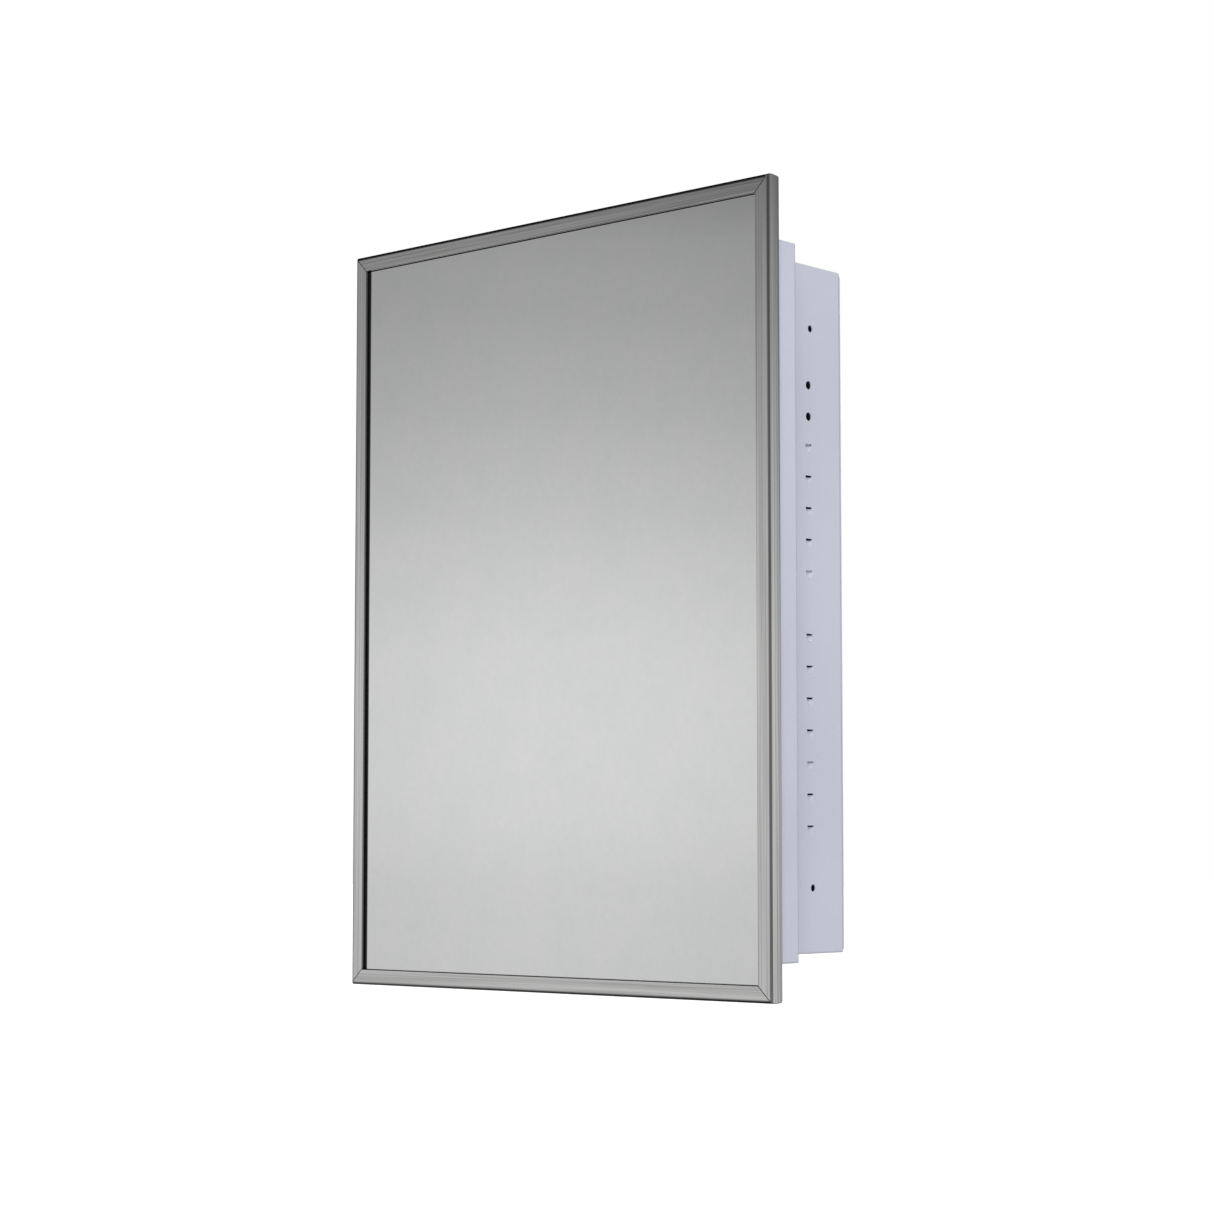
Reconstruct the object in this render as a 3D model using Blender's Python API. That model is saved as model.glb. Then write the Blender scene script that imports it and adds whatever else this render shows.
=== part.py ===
"""Recessed medicine cabinet with a framed mirror door on a full-length piano hinge.

Metres, +Z up. The origin is the centre of the back panel's rear face. The front faces -Y and the
hinge is at -X. Depths are Y values: the door's front is the lowest one, the cabinet's back is 0.
"""

import math

import bmesh
import bpy
from mathutils import Matrix, Vector

# Overall sizes
DOOR_WIDTH = 0.4064
DOOR_HEIGHT = 0.5588
DOOR_THICKNESS = 0.013
DOOR_RAISE = 0.0080
TOTAL_DEPTH = 0.12065
BOX_WIDTH = 0.3490
BOX_HEIGHT = 0.4826
FLANGE_WIDTH = 0.3964
FLANGE_HEIGHT = 0.4914
WALL_PLANE_DEPTH = 0.08275
DOOR_STANDOFF = 0.0026

# Sheet metal and fits
SHEET = 0.0009
GAP = 0.0003
BEND = 0.0020
BOX_CORNER = 0.0030
SMALLEST_CORNER = 0.0004
BEND_STEPS = 4
CORNER_STEPS = 4

# Depth levels
DOOR_FRONT = -TOTAL_DEPTH
DOOR_BACK = DOOR_FRONT + DOOR_THICKNESS
FLANGE_FRONT = DOOR_BACK + DOOR_STANDOFF
WALL_PLANE = -WALL_PLANE_DEPTH
BOX_FRONT = FLANGE_FRONT + SHEET + GAP
BOX_REAR = -SHEET - GAP

# Cabinet box
REAR_RETURN = 0.0040
BACK_PANEL_INSET = 0.0015
FLANGE_RETURN = 0.0038
FLANGE_INNER_LEG = 0.0100
INNER_BEND = 0.0016

# Holes and shelf rests in the box sides
MOUNT_HOLE_RADIUS = 0.0025
MOUNT_HOLE_Z = 0.1959
MOUNT_HOLE_Y = -0.03735
REST_PITCH = 0.022225
REST_ROWS_Y = (-0.03965, -0.08095)
LANCED_RESTS = (-7, -6, -5, -4, -3, -2, -1, 1, 2, 3, 4, 5)
OPEN_RESTS = (6, 7)
OPEN_REST_RADIUS = 0.0030
LANCE_RAISE = 0.0012
LANCE_LENGTH = 0.0090
LANCE_SLIT = 0.0016
LANCE_RIM = 0.0006
LANCE_DROP = 0.0050
LANCE_REACH = 0.0024
LANCE_SHEET = 0.0007

# Shelves
SHELF_POSITIONS = {"shelf_lower": -5, "shelf_middle": 1, "shelf_upper": 5}
SHELF_FRONT = -0.0885
SHELF_REAR = -0.0035
SHELF_LIP_FRONT = 0.0110
SHELF_LIP_REAR = 0.0080
SHELF_END_GAP = 0.0004
SHELF_BEND = 0.0014
SHELF_SEAT = 0.0009

# Door frame channel
FRAME_FACE = 0.0119
FRAME_LIP = 0.0013
FRAME_LIP_EDGE = 0.0006
FRAME_REAR_LEG = 0.0105
FRAME_FRONT_BEND = 0.0026
FRAME_REAR_BEND = 0.0012
MITRE_GAP = 0.0002
KEY_EDGE = 0.0019
KEY_LEG = 0.0400
KEY_WIDTH = 0.0072
GASKET_INNER = 0.0118
GASKET_OUTER = 0.0108

# Door filling, from front to back
MIRROR_RECESS = 0.0031
GLASS_EDGE = 0.0040
BACKING_EDGE = 0.0050
GLASS_THICKNESS = 0.0048
BACKING_THICKNESS = 0.0010
DOOR_PANEL_SHEET = 0.0007
DOOR_PANEL_EDGE = 0.0025
GLASS_FRONT = DOOR_FRONT + MIRROR_RECESS
GLASS_BACK = GLASS_FRONT + GLASS_THICKNESS
BACKING_FRONT = GLASS_BACK + GAP
BACKING_BACK = BACKING_FRONT + BACKING_THICKNESS
PANEL_BACK = DOOR_BACK - SHEET - GAP
PANEL_FRONT = PANEL_BACK - DOOR_PANEL_SHEET

# Piano hinge
KNUCKLE_RADIUS = 0.0023
KNUCKLE_BORE = 0.00145
KNUCKLE_SIDES = 12
KNUCKLE_COUNT = 24
KNUCKLE_PITCH = 0.0200
KNUCKLE_GAP = 0.0006
LEAF_SHEET = 0.0007
LEAF_SURFACE = 0.0022
LEAF_CLEARANCE = 0.0028
LEAF_WIDTH = 0.0150
LEAF_ROOT = 0.0002
PIN_RADIUS = 0.00105
PIN_OVERHANG = 0.0008
HINGE_LENGTH = KNUCKLE_COUNT * KNUCKLE_PITCH
HINGE_X = -FLANGE_WIDTH / 2 - GAP - KNUCKLE_RADIUS
HINGE_Y = DOOR_BACK + GAP + KNUCKLE_RADIUS

# Rivets of the hinge
RIVET_COUNT = 6
RIVET_PITCH = 0.0840
RIVET_SHANK = 0.0012
RIVET_HOLE = 0.0015
RIVET_HEAD = 0.0022
RIVET_HEAD_HEIGHT = 0.0008
RIVET_TAIL = 0.0018
RIVET_TAIL_HEIGHT = 0.0006
DOOR_RIVET_X = HINGE_X + 0.0049
CABINET_RIVET_Y = HINGE_Y + 0.0095

# Magnetic catch and its strike
CATCH_LOW = Vector((0.1575, -0.1046, -0.0140))
CATCH_HIGH = Vector((0.1721, -0.0906, 0.0140))
CATCH_WALL = 0.0018
EAR_SHEET = 0.0020
EAR_HALF_HEIGHT = 0.0250
EAR_DEPTH = (-0.1040, -0.0960)
POLE_SHEET = 0.0012
POLE_REACH = 0.00215
STACK_BACK = 0.0113
CATCH_SCREW_Y = -0.1000
CATCH_SCREW_Z = 0.0200
SCREW_SHANK = 0.0013
SCREW_HOLE = 0.0017
SCREW_HEAD = 0.0027
SCREW_HEAD_HEIGHT = 0.0013
CATCH_SCREW_LENGTH = 0.0062
STRIKE_X = (0.1560, 0.1720)
STRIKE_HALF_HEIGHT = 0.0240
STRIKE_SHEET = 0.0015
STRIKE_SCREW_X = 0.1640
STRIKE_SCREW_Z = 0.0190
STRIKE_HEAD_HEIGHT = 0.0008
STRIKE_SCREW_LENGTH = 0.0034
BACKING_HOLE = 0.0025

# Rubber bumpers
BUMPER_RADIUS = 0.0045
BUMPER_X = 0.1865
BUMPER_Z = 0.2050
BUMPER_EDGE = 0.0010

ROUND_SIDES = 12
SMOOTH_ANGLE = math.radians(35)
X_AXIS = Vector((1, 0, 0))
Y_AXIS = Vector((0, 1, 0))
Z_AXIS = Vector((0, 0, 1))


def clear_scene():
    for thing in list(bpy.data.objects):
        bpy.data.objects.remove(thing, do_unlink=True)


def material(name, colour, roughness, metallic):
    made = bpy.data.materials.new(name)
    made.use_nodes = True
    shader = made.node_tree.nodes["Principled BSDF"]
    shader.inputs["Base Color"].default_value = (*colour, 1)
    shader.inputs["Roughness"].default_value = roughness
    shader.inputs["Metallic"].default_value = metallic
    return made


def pivot(name, place):
    """An empty whose place is a joint's axis."""
    made = bpy.data.objects.new(name, None)
    made.location = place
    bpy.context.scene.collection.objects.link(made)
    return made


def add_object(name, shape, look=None, parent=None):
    """Turns a bmesh, in world coordinates, into a named object with its faces pointing out."""
    bmesh.ops.recalc_face_normals(shape, faces=shape.faces)
    mesh = bpy.data.meshes.new(name)
    shape.to_mesh(mesh)
    shape.free()
    made = bpy.data.objects.new(name, mesh)
    bpy.context.scene.collection.objects.link(made)
    if look:
        mesh.materials.append(look)
    if parent:
        mesh.transform(Matrix.Translation(-parent.location))
        made.parent = parent
    mesh.shade_smooth()
    mesh.set_sharp_from_angle(angle=SMOOTH_ANGLE)
    return made


def combine(target, shape, operation):
    """Cuts a shape out of an object, or welds it on, with an exact Boolean."""
    tool = add_object(f"{target.name}_{operation.lower()}_tool", shape)
    tool.hide_render = True
    tool.display_type = "WIRE"
    if target.parent:
        tool.data.transform(Matrix.Translation(-target.parent.location))
        tool.parent = target.parent
    step = target.modifiers.new(operation.title(), "BOOLEAN")
    step.operation = operation
    step.solver = "EXACT"
    step.object = tool


def arc(centre, radius, start, end, steps=BEND_STEPS):
    """Points (u, v) on a circle from one angle to another, in degrees, both ends included."""
    points = []
    for step in range(steps + 1):
        angle = math.radians(start + (end - start) * step / steps)
        points.append((centre[0] + radius * math.cos(angle), centre[1] + radius * math.sin(angle)))
    return points


def rounded_rectangle(half_width, half_height, radius):
    """Points (x, z) of a rectangle with round corners, anticlockwise from its right side."""
    points = []
    for start, side_x, side_z in ((0, 1, 1), (90, -1, 1), (180, -1, -1), (270, 1, -1)):
        centre = (side_x * (half_width - radius), side_z * (half_height - radius))
        points += arc(centre, radius, start, start + 90, CORNER_STEPS)
    return points


def add_box(shape, low, high):
    size = Vector(high) - Vector(low)
    centre = (Vector(high) + Vector(low)) / 2
    bmesh.ops.create_cube(shape, size=1, matrix=Matrix.LocRotScale(centre, None, size))


def add_prism(shape, outline, shift):
    """Extrudes a flat outline of 3D points along a vector, with both ends capped."""
    start = [shape.verts.new(point) for point in outline]
    end = [shape.verts.new(Vector(point) + shift) for point in outline]
    shape.faces.new(start)
    shape.faces.new(reversed(end))
    for index in range(len(outline)):
        after = (index + 1) % len(outline)
        shape.faces.new((start[after], start[index], end[index], end[after]))


def circle_outline(centre, axis, radius, sides=ROUND_SIDES, turn=0.0):
    """Points of a regular polygon about a centre, in the plane across an axis."""
    across = Z_AXIS if abs(axis.z) < 0.5 else Y_AXIS
    other = axis.cross(across)
    points = []
    for side in range(sides):
        angle = 2 * math.pi * side / sides + turn
        points.append(Vector(centre) + radius * (math.cos(angle) * across + math.sin(angle) * other))
    return points


def add_cylinder(shape, centre, axis, radius, length):
    outline = circle_outline(Vector(centre) - axis * length / 2, axis, radius)
    add_prism(shape, outline, axis * length)


def sweep_loops(loops):
    """A closed ring from round rectangles (half width, half height, corner radius, depth)."""
    shape = bmesh.new()
    rings = []
    for half_width, half_height, radius, depth in loops:
        points = rounded_rectangle(half_width, half_height, radius)
        rings.append([shape.verts.new((x, depth, z)) for x, z in points])
    for index, ring in enumerate(rings):
        following = rings[(index + 1) % len(rings)]
        for side in range(len(ring)):
            after = (side + 1) % len(ring)
            shape.faces.new((ring[side], ring[after], following[after], following[side]))
    return shape


def sheet_plate(half_width, half_height, corner, front, back, centre_z=0.0):
    """A flat sheet across the Y axis with round corners."""
    shape = bmesh.new()
    outline = [(x, front, z + centre_z) for x, z in rounded_rectangle(half_width, half_height, corner)]
    add_prism(shape, outline, Y_AXIS * (back - front))
    return shape


def turned(profile, start, axis):
    """A solid of revolution from (radius, distance) points, whose first and last radius is 0."""
    shape = bmesh.new()
    rings = []
    for radius, distance in profile[1:-1]:
        outline = circle_outline(Vector(start) + axis * distance, axis, radius)
        rings.append([shape.verts.new(point) for point in outline])
    first = shape.verts.new(Vector(start) + axis * profile[0][1])
    last = shape.verts.new(Vector(start) + axis * profile[-1][1])
    for side in range(ROUND_SIDES):
        after = (side + 1) % ROUND_SIDES
        shape.faces.new((first, rings[0][after], rings[0][side]))
        shape.faces.new((last, rings[-1][side], rings[-1][after]))
        for ring, following in zip(rings, rings[1:]):
            shape.faces.new((ring[side], ring[after], following[after], following[side]))
    return shape


def lance_heights():
    return [index * REST_PITCH + LANCE_RAISE for index in LANCED_RESTS]


def add_lance_wedge(shape, side, row, height):
    """The outside of a shelf rest: a scoop pressed inwards, deepest at its upper rim."""
    inner = side * (BOX_WIDTH / 2 - SHEET)
    base = side * (BOX_WIDTH / 2 - SHEET / 2)
    rim = inner - side * LANCE_REACH
    start = row - LANCE_LENGTH / 2
    bottom = height - LANCE_DROP
    top = height + LANCE_RIM
    section = ((base, bottom), (inner, bottom), (rim, height), (rim, top), (base, top))
    add_prism(shape, [(x, start, z) for x, z in section], Y_AXIS * LANCE_LENGTH)


def add_lance_cutter(shape, side, row, height):
    """The hollow of a shelf rest, open at the outside of the wall and in a slit above its rim."""
    outside = side * (BOX_WIDTH / 2 + SHEET)
    inner = side * (BOX_WIDTH / 2 - SHEET)
    rim = inner - side * (LANCE_REACH - LANCE_SHEET)
    beyond = rim - side * 2 * LANCE_SHEET
    length = LANCE_LENGTH - 2 * LANCE_SHEET
    start = row - length / 2
    bottom = height - LANCE_DROP + LANCE_SHEET
    top = height + LANCE_SLIT
    edge = height + LANCE_RIM + GAP / 10
    section = [(outside, bottom), (inner, bottom), (rim, height), (rim, edge)]
    section += [(beyond, edge), (beyond, top), (outside, top)]
    add_prism(shape, [(x, start, z) for x, z in section], Y_AXIS * length)


def side_holes():
    """Cutters for every hole and slit in the two side walls."""
    shape = bmesh.new()
    for side in (-1, 1):
        wall = side * BOX_WIDTH / 2
        for end in (-1, 1):
            place = (wall, MOUNT_HOLE_Y, end * MOUNT_HOLE_Z)
            add_cylinder(shape, place, X_AXIS, MOUNT_HOLE_RADIUS, 4 * SHEET)
        for row in REST_ROWS_Y:
            for height in lance_heights():
                add_lance_cutter(shape, side, row, height)
            for index in OPEN_RESTS:
                place = (wall, row, index * REST_PITCH)
                add_cylinder(shape, place, X_AXIS, OPEN_REST_RADIUS, 4 * SHEET)
    for end in (-1, 1):
        place = (BOX_WIDTH / 2, CATCH_SCREW_Y, end * CATCH_SCREW_Z)
        add_cylinder(shape, place, X_AXIS, SCREW_HOLE, 4 * SHEET)
    return shape


def shelf_rests():
    shape = bmesh.new()
    for side in (-1, 1):
        for row in REST_ROWS_Y:
            for height in lance_heights():
                add_lance_wedge(shape, side, row, height)
    return shape


def make_box_shell(look):
    def loop(inset, depth):
        corner = max(BOX_CORNER - inset, SMALLEST_CORNER)
        return (BOX_WIDTH / 2 - inset, BOX_HEIGHT / 2 - inset, corner, depth)

    outer_bend = [loop(-u, v) for u, v in arc((-BEND, BOX_REAR - BEND), BEND, 0, 90)]
    inner_bend = [loop(-u, v) for u, v in arc((-BEND, BOX_REAR - BEND), BEND - SHEET, 90, 0)]
    loops = [loop(0, BOX_FRONT)] + outer_bend
    loops += [loop(REAR_RETURN, BOX_REAR), loop(REAR_RETURN, BOX_REAR - SHEET)]
    loops += inner_bend + [loop(SHEET, BOX_FRONT)]
    shell = add_object("box_shell", sweep_loops(loops), look)
    combine(shell, shelf_rests(), "UNION")
    combine(shell, side_holes(), "DIFFERENCE")


def make_back_panel(look):
    half_width = BOX_WIDTH / 2 - BACK_PANEL_INSET
    half_height = BOX_HEIGHT / 2 - BACK_PANEL_INSET
    add_object("back_panel", sheet_plate(half_width, half_height, BEND, -SHEET, 0), look)


def make_front_flange(look):
    leg_width = BOX_WIDTH / 2 - 2 * SHEET - GAP
    leg_height = BOX_HEIGHT / 2 - 2 * SHEET - GAP
    leg_corner = BOX_CORNER - 2 * SHEET - GAP

    def outer(inset, depth):
        corner = max(BOX_CORNER - inset, SMALLEST_CORNER)
        return (FLANGE_WIDTH / 2 - inset, FLANGE_HEIGHT / 2 - inset, corner, depth)

    def inner(outset, depth):
        return (leg_width + outset, leg_height + outset, leg_corner + outset, depth)

    rear_centre = (-BEND, WALL_PLANE - BEND)
    front_centre = (-BEND, FLANGE_FRONT + BEND)
    leg_centre = (INNER_BEND, FLANGE_FRONT + INNER_BEND)
    leg_end = FLANGE_FRONT + FLANGE_INNER_LEG
    loops = [outer(FLANGE_RETURN, WALL_PLANE)]
    loops += [outer(-u, v) for u, v in arc(rear_centre, BEND, 90, 0)]
    loops += [outer(-u, v) for u, v in arc(front_centre, BEND, 0, -90)]
    loops += [inner(u, v) for u, v in arc(leg_centre, INNER_BEND, 270, 180)]
    loops += [inner(0, leg_end), inner(SHEET, leg_end)]
    loops += [inner(u, v) for u, v in arc(leg_centre, INNER_BEND - SHEET, 180, 270)]
    loops += [outer(-u, v) for u, v in arc(front_centre, BEND - SHEET, -90, 0)]
    loops += [outer(-u, v) for u, v in arc(rear_centre, BEND - SHEET, 0, 90)]
    loops += [outer(FLANGE_RETURN, WALL_PLANE - SHEET)]
    flange = add_object("front_flange", sweep_loops(loops), look)
    combine(flange, flange_holes(), "DIFFERENCE")


def flange_holes():
    shape = bmesh.new()
    for height in rivet_heights():
        place = (-FLANGE_WIDTH / 2, CABINET_RIVET_Y, height)
        add_cylinder(shape, place, X_AXIS, RIVET_HOLE, 4 * SHEET)
    for end in (-1, 1):
        place = (BOX_WIDTH / 2 - SHEET, CATCH_SCREW_Y, end * CATCH_SCREW_Z)
        add_cylinder(shape, place, X_AXIS, SCREW_HOLE, 4 * SHEET)
    return shape


def make_shelf(name, index, look):
    """A sheet with its front and rear edges folded down, from its section in Y and Z."""
    top = index * REST_PITCH + LANCE_RAISE + SHELF_SEAT + SHEET
    front = (SHELF_FRONT + SHELF_BEND, top - SHELF_BEND)
    rear = (SHELF_REAR - SHELF_BEND, top - SHELF_BEND)
    section = [(SHELF_FRONT, top - SHELF_LIP_FRONT)]
    section += arc(front, SHELF_BEND, 180, 90)
    section += arc(rear, SHELF_BEND, 90, 0)
    section += [(SHELF_REAR, top - SHELF_LIP_REAR), (SHELF_REAR - SHEET, top - SHELF_LIP_REAR)]
    section += arc(rear, SHELF_BEND - SHEET, 0, 90)
    section += arc(front, SHELF_BEND - SHEET, 90, 180)
    section += [(SHELF_FRONT + SHEET, top - SHELF_LIP_FRONT)]
    half = BOX_WIDTH / 2 - SHEET - SHELF_END_GAP
    shape = bmesh.new()
    add_prism(shape, [(-half, y, z) for y, z in section], X_AXIS * 2 * half)
    add_object(name, shape, look)


def channel_section():
    """Section of the door frame as (inset from the door's edge, depth)."""
    front = FRAME_FRONT_BEND
    rear = FRAME_REAR_BEND
    front_centre = (front, DOOR_FRONT + front)
    rear_centre = (rear, DOOR_BACK - rear)
    lip_end = DOOR_FRONT + FRAME_LIP
    lip_centre = (FRAME_FACE - FRAME_LIP_EDGE, DOOR_FRONT + FRAME_LIP_EDGE)
    section = [(FRAME_FACE, lip_end)]
    section += arc(lip_centre, FRAME_LIP_EDGE, 0, -90)
    section += arc(front_centre, front, -90, -180)
    section += arc(rear_centre, rear, 180, 90)
    section += [(FRAME_REAR_LEG, DOOR_BACK), (FRAME_REAR_LEG, DOOR_BACK - SHEET)]
    section += arc(rear_centre, rear - SHEET, 90, 180)
    section += arc(front_centre, front - SHEET, 180, 270)
    section += [(FRAME_FACE - SHEET, DOOR_FRONT + SHEET), (FRAME_FACE - SHEET, lip_end)]
    return section


def gasket_section():
    """Section of the glazing strip between the frame's lip and the mirror."""
    front = DOOR_FRONT + FRAME_LIP + GAP
    back = GLASS_FRONT - GAP
    return [(GASKET_INNER, back), (GASKET_INNER, front), (GASKET_OUTER, front), (GASKET_OUTER, back)]


def mitred_bar(section, along, side):
    """A section swept along one edge of the door, with mitred ends: along is the axis it runs on."""
    half = {"x": DOOR_WIDTH / 2, "z": DOOR_HEIGHT / 2}
    across = "z" if along == "x" else "x"
    shape = bmesh.new()
    ends = []
    for end in (-1, 1):
        ring = []
        for inset, depth in section:
            reach = {along: end * (half[along] - inset - MITRE_GAP), across: side * (half[across] - inset)}
            ring.append(shape.verts.new((reach["x"], depth, reach["z"] + DOOR_RAISE)))
        ends.append(ring)
    for index, vertex in enumerate(ends[0]):
        after = (index + 1) % len(ends[0])
        shape.faces.new((vertex, ends[0][after], ends[1][after], ends[1][index]))
    shape.faces.new(ends[0])
    shape.faces.new(reversed(ends[1]))
    return shape


def make_frame(metal, rubber, parent):
    edges = {"top": ("x", 1), "bottom": ("x", -1), "left": ("z", -1), "right": ("z", 1)}
    for name, (along, side) in edges.items():
        member = add_object(f"frame_{name}", mitred_bar(channel_section(), along, side), metal, parent)
        if name == "left":
            combine(member, door_rivet_holes(), "DIFFERENCE")
        add_object(f"gasket_{name}", mitred_bar(gasket_section(), along, side), rubber, parent)


def make_corner_key(name, side_x, side_z, look, parent):
    """A flat L inside the channel, between its face and the mirror."""
    edge = KEY_EDGE
    inner = KEY_EDGE + KEY_WIDTH
    leg = KEY_EDGE + KEY_LEG
    corner = ((edge, edge), (leg, edge), (leg, inner), (inner, inner), (inner, leg), (edge, leg))
    front = DOOR_FRONT + SHEET + GAP
    back = GLASS_FRONT - GAP
    outline = []
    for u, v in corner:
        x = side_x * (DOOR_WIDTH / 2 - u)
        z = side_z * (DOOR_HEIGHT / 2 - v) + DOOR_RAISE
        outline.append((x, front, z))
    shape = bmesh.new()
    add_prism(shape, outline, Y_AXIS * (back - front))
    add_object(name, shape, look, parent)


def door_sheet(inset, front, back):
    half_width = DOOR_WIDTH / 2 - inset
    half_height = DOOR_HEIGHT / 2 - inset
    return sheet_plate(half_width, half_height, SHEET, front, back, DOOR_RAISE)


def make_mirror(glass, cushion, parent):
    add_object("mirror_glass", door_sheet(GLASS_EDGE, GLASS_FRONT, GLASS_BACK), glass, parent)
    backing = door_sheet(BACKING_EDGE, BACKING_FRONT, BACKING_BACK)
    pad = add_object("mirror_backing", backing, cushion, parent)
    combine(pad, strike_holes(BACKING_HOLE), "DIFFERENCE")


def make_door_back_panel(look, parent):
    sheet = door_sheet(DOOR_PANEL_EDGE, PANEL_FRONT, PANEL_BACK)
    panel = add_object("door_back_panel", sheet, look, parent)
    holes = strike_holes(SCREW_HOLE)
    for height in rivet_heights():
        add_cylinder(holes, (DOOR_RIVET_X, PANEL_BACK, height), Y_AXIS, RIVET_HOLE, 4 * SHEET)
    combine(panel, holes, "DIFFERENCE")


def rivet_heights():
    middle = (RIVET_COUNT - 1) / 2
    return [(index - middle) * RIVET_PITCH for index in range(RIVET_COUNT)]


def door_rivet_holes():
    shape = bmesh.new()
    for height in rivet_heights():
        add_cylinder(shape, (DOOR_RIVET_X, DOOR_BACK, height), Y_AXIS, RIVET_HOLE, 6 * SHEET)
    return shape


def strike_holes(radius):
    shape = bmesh.new()
    for end in (-1, 1):
        place = (STRIKE_SCREW_X, PANEL_BACK, end * STRIKE_SCREW_Z)
        add_cylinder(shape, place, Y_AXIS, radius, 6 * SHEET)
    return shape


def knuckle_spans(first):
    """The (low, high) heights of every second knuckle."""
    spans = []
    for index in range(first, KNUCKLE_COUNT, 2):
        low = index * KNUCKLE_PITCH - HINGE_LENGTH / 2
        spans.append((low + KNUCKLE_GAP / 2, low + KNUCKLE_PITCH - KNUCKLE_GAP / 2))
    return spans


def knuckle_tubes(first):
    """Tubes about the pin, each with a flat side towards its leaf."""
    shape = bmesh.new()
    turn = math.pi / KNUCKLE_SIDES
    outer = KNUCKLE_RADIUS
    bore = KNUCKLE_BORE
    for low, high in knuckle_spans(first):
        rings = []
        for radius, height in ((outer, low), (outer, high), (bore, high), (bore, low)):
            outline = circle_outline((HINGE_X, HINGE_Y, height), Z_AXIS, radius, KNUCKLE_SIDES, turn)
            rings.append([shape.verts.new(point) for point in outline])
        for index, ring in enumerate(rings):
            following = rings[(index + 1) % len(rings)]
            for side in range(KNUCKLE_SIDES):
                after = (side + 1) % KNUCKLE_SIDES
                shape.faces.new((ring[side], ring[after], following[after], following[side]))
    return shape


def comb_outline(first):
    """A leaf's outline as (distance from the pin, height), with a finger at each of its knuckles."""
    points = [(LEAF_WIDTH, -HINGE_LENGTH / 2), (LEAF_CLEARANCE, -HINGE_LENGTH / 2)]
    for low, high in knuckle_spans(first):
        points += [(LEAF_CLEARANCE, low), (LEAF_ROOT, low), (LEAF_ROOT, high), (LEAF_CLEARANCE, high)]
    points += [(LEAF_CLEARANCE, HINGE_LENGTH / 2), (LEAF_WIDTH, HINGE_LENGTH / 2)]
    return points


def make_door_leaf(look, parent):
    shape = bmesh.new()
    front = HINGE_Y - LEAF_SURFACE
    outline = [(HINGE_X + out, front, height) for out, height in comb_outline(1)]
    add_prism(shape, outline, Y_AXIS * LEAF_SHEET)
    leaf = add_object("hinge_door_leaf", shape, look, parent)
    combine(leaf, knuckle_tubes(1), "UNION")
    combine(leaf, door_rivet_holes(), "DIFFERENCE")


def make_cabinet_leaf(look):
    shape = bmesh.new()
    outer = HINGE_X + LEAF_SURFACE
    outline = [(outer, HINGE_Y + out, height) for out, height in comb_outline(0)]
    add_prism(shape, outline, -X_AXIS * LEAF_SHEET)
    leaf = add_object("hinge_cabinet_leaf", shape, look)
    combine(leaf, knuckle_tubes(0), "UNION")
    holes = bmesh.new()
    for height in rivet_heights():
        add_cylinder(holes, (outer, CABINET_RIVET_Y, height), X_AXIS, RIVET_HOLE, 4 * SHEET)
    combine(leaf, holes, "DIFFERENCE")


def make_pin(look):
    length = HINGE_LENGTH + 2 * PIN_OVERHANG
    chamfer = PIN_RADIUS / 3
    profile = [(0, 0), (PIN_RADIUS - chamfer, 0), (PIN_RADIUS, chamfer)]
    profile += [(PIN_RADIUS, length - chamfer), (PIN_RADIUS - chamfer, length), (0, length)]
    add_object("hinge_pin", turned(profile, (HINGE_X, HINGE_Y, -length / 2), Z_AXIS), look)


def rivet_profile(grip):
    """Low domed head, shank and set tail, measured from the head's top."""
    under = RIVET_HEAD_HEIGHT
    tail = under + grip
    return [
        (0, 0),
        (RIVET_HEAD * 0.7, 0),
        (RIVET_HEAD, under * 0.6),
        (RIVET_HEAD, under),
        (RIVET_SHANK, under),
        (RIVET_SHANK, tail),
        (RIVET_TAIL, tail),
        (RIVET_TAIL, tail + RIVET_TAIL_HEIGHT),
        (0, tail + RIVET_TAIL_HEIGHT),
    ]


def make_rivets(look, parent):
    door_top = HINGE_Y - LEAF_SURFACE + LEAF_SHEET + GAP + RIVET_HEAD_HEIGHT
    door_grip = door_top - RIVET_HEAD_HEIGHT - PANEL_FRONT + GAP
    side_top = HINGE_X + LEAF_SURFACE - LEAF_SHEET - GAP - RIVET_HEAD_HEIGHT
    side_grip = -FLANGE_WIDTH / 2 + SHEET + GAP - side_top - RIVET_HEAD_HEIGHT
    for index, height in enumerate(rivet_heights(), start=1):
        rivet = turned(rivet_profile(door_grip), (DOOR_RIVET_X, door_top, height), -Y_AXIS)
        add_object(f"hinge_door_rivet_{index}", rivet, look, parent)
        rivet = turned(rivet_profile(side_grip), (side_top, CABINET_RIVET_Y, height), X_AXIS)
        add_object(f"hinge_cabinet_rivet_{index}", rivet, look)


def stack_span(place):
    """Low and high X of the catch's inner pole, magnet and outer pole, by place 0, 1 or 2."""
    low = CATCH_LOW.x + CATCH_WALL + GAP
    high = CATCH_HIGH.x - EAR_SHEET - CATCH_WALL + GAP
    edges = (low, low + POLE_SHEET, low + POLE_SHEET + GAP, high - POLE_SHEET - GAP, high - POLE_SHEET, high)
    return edges[2 * place], edges[2 * place + 1]


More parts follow.
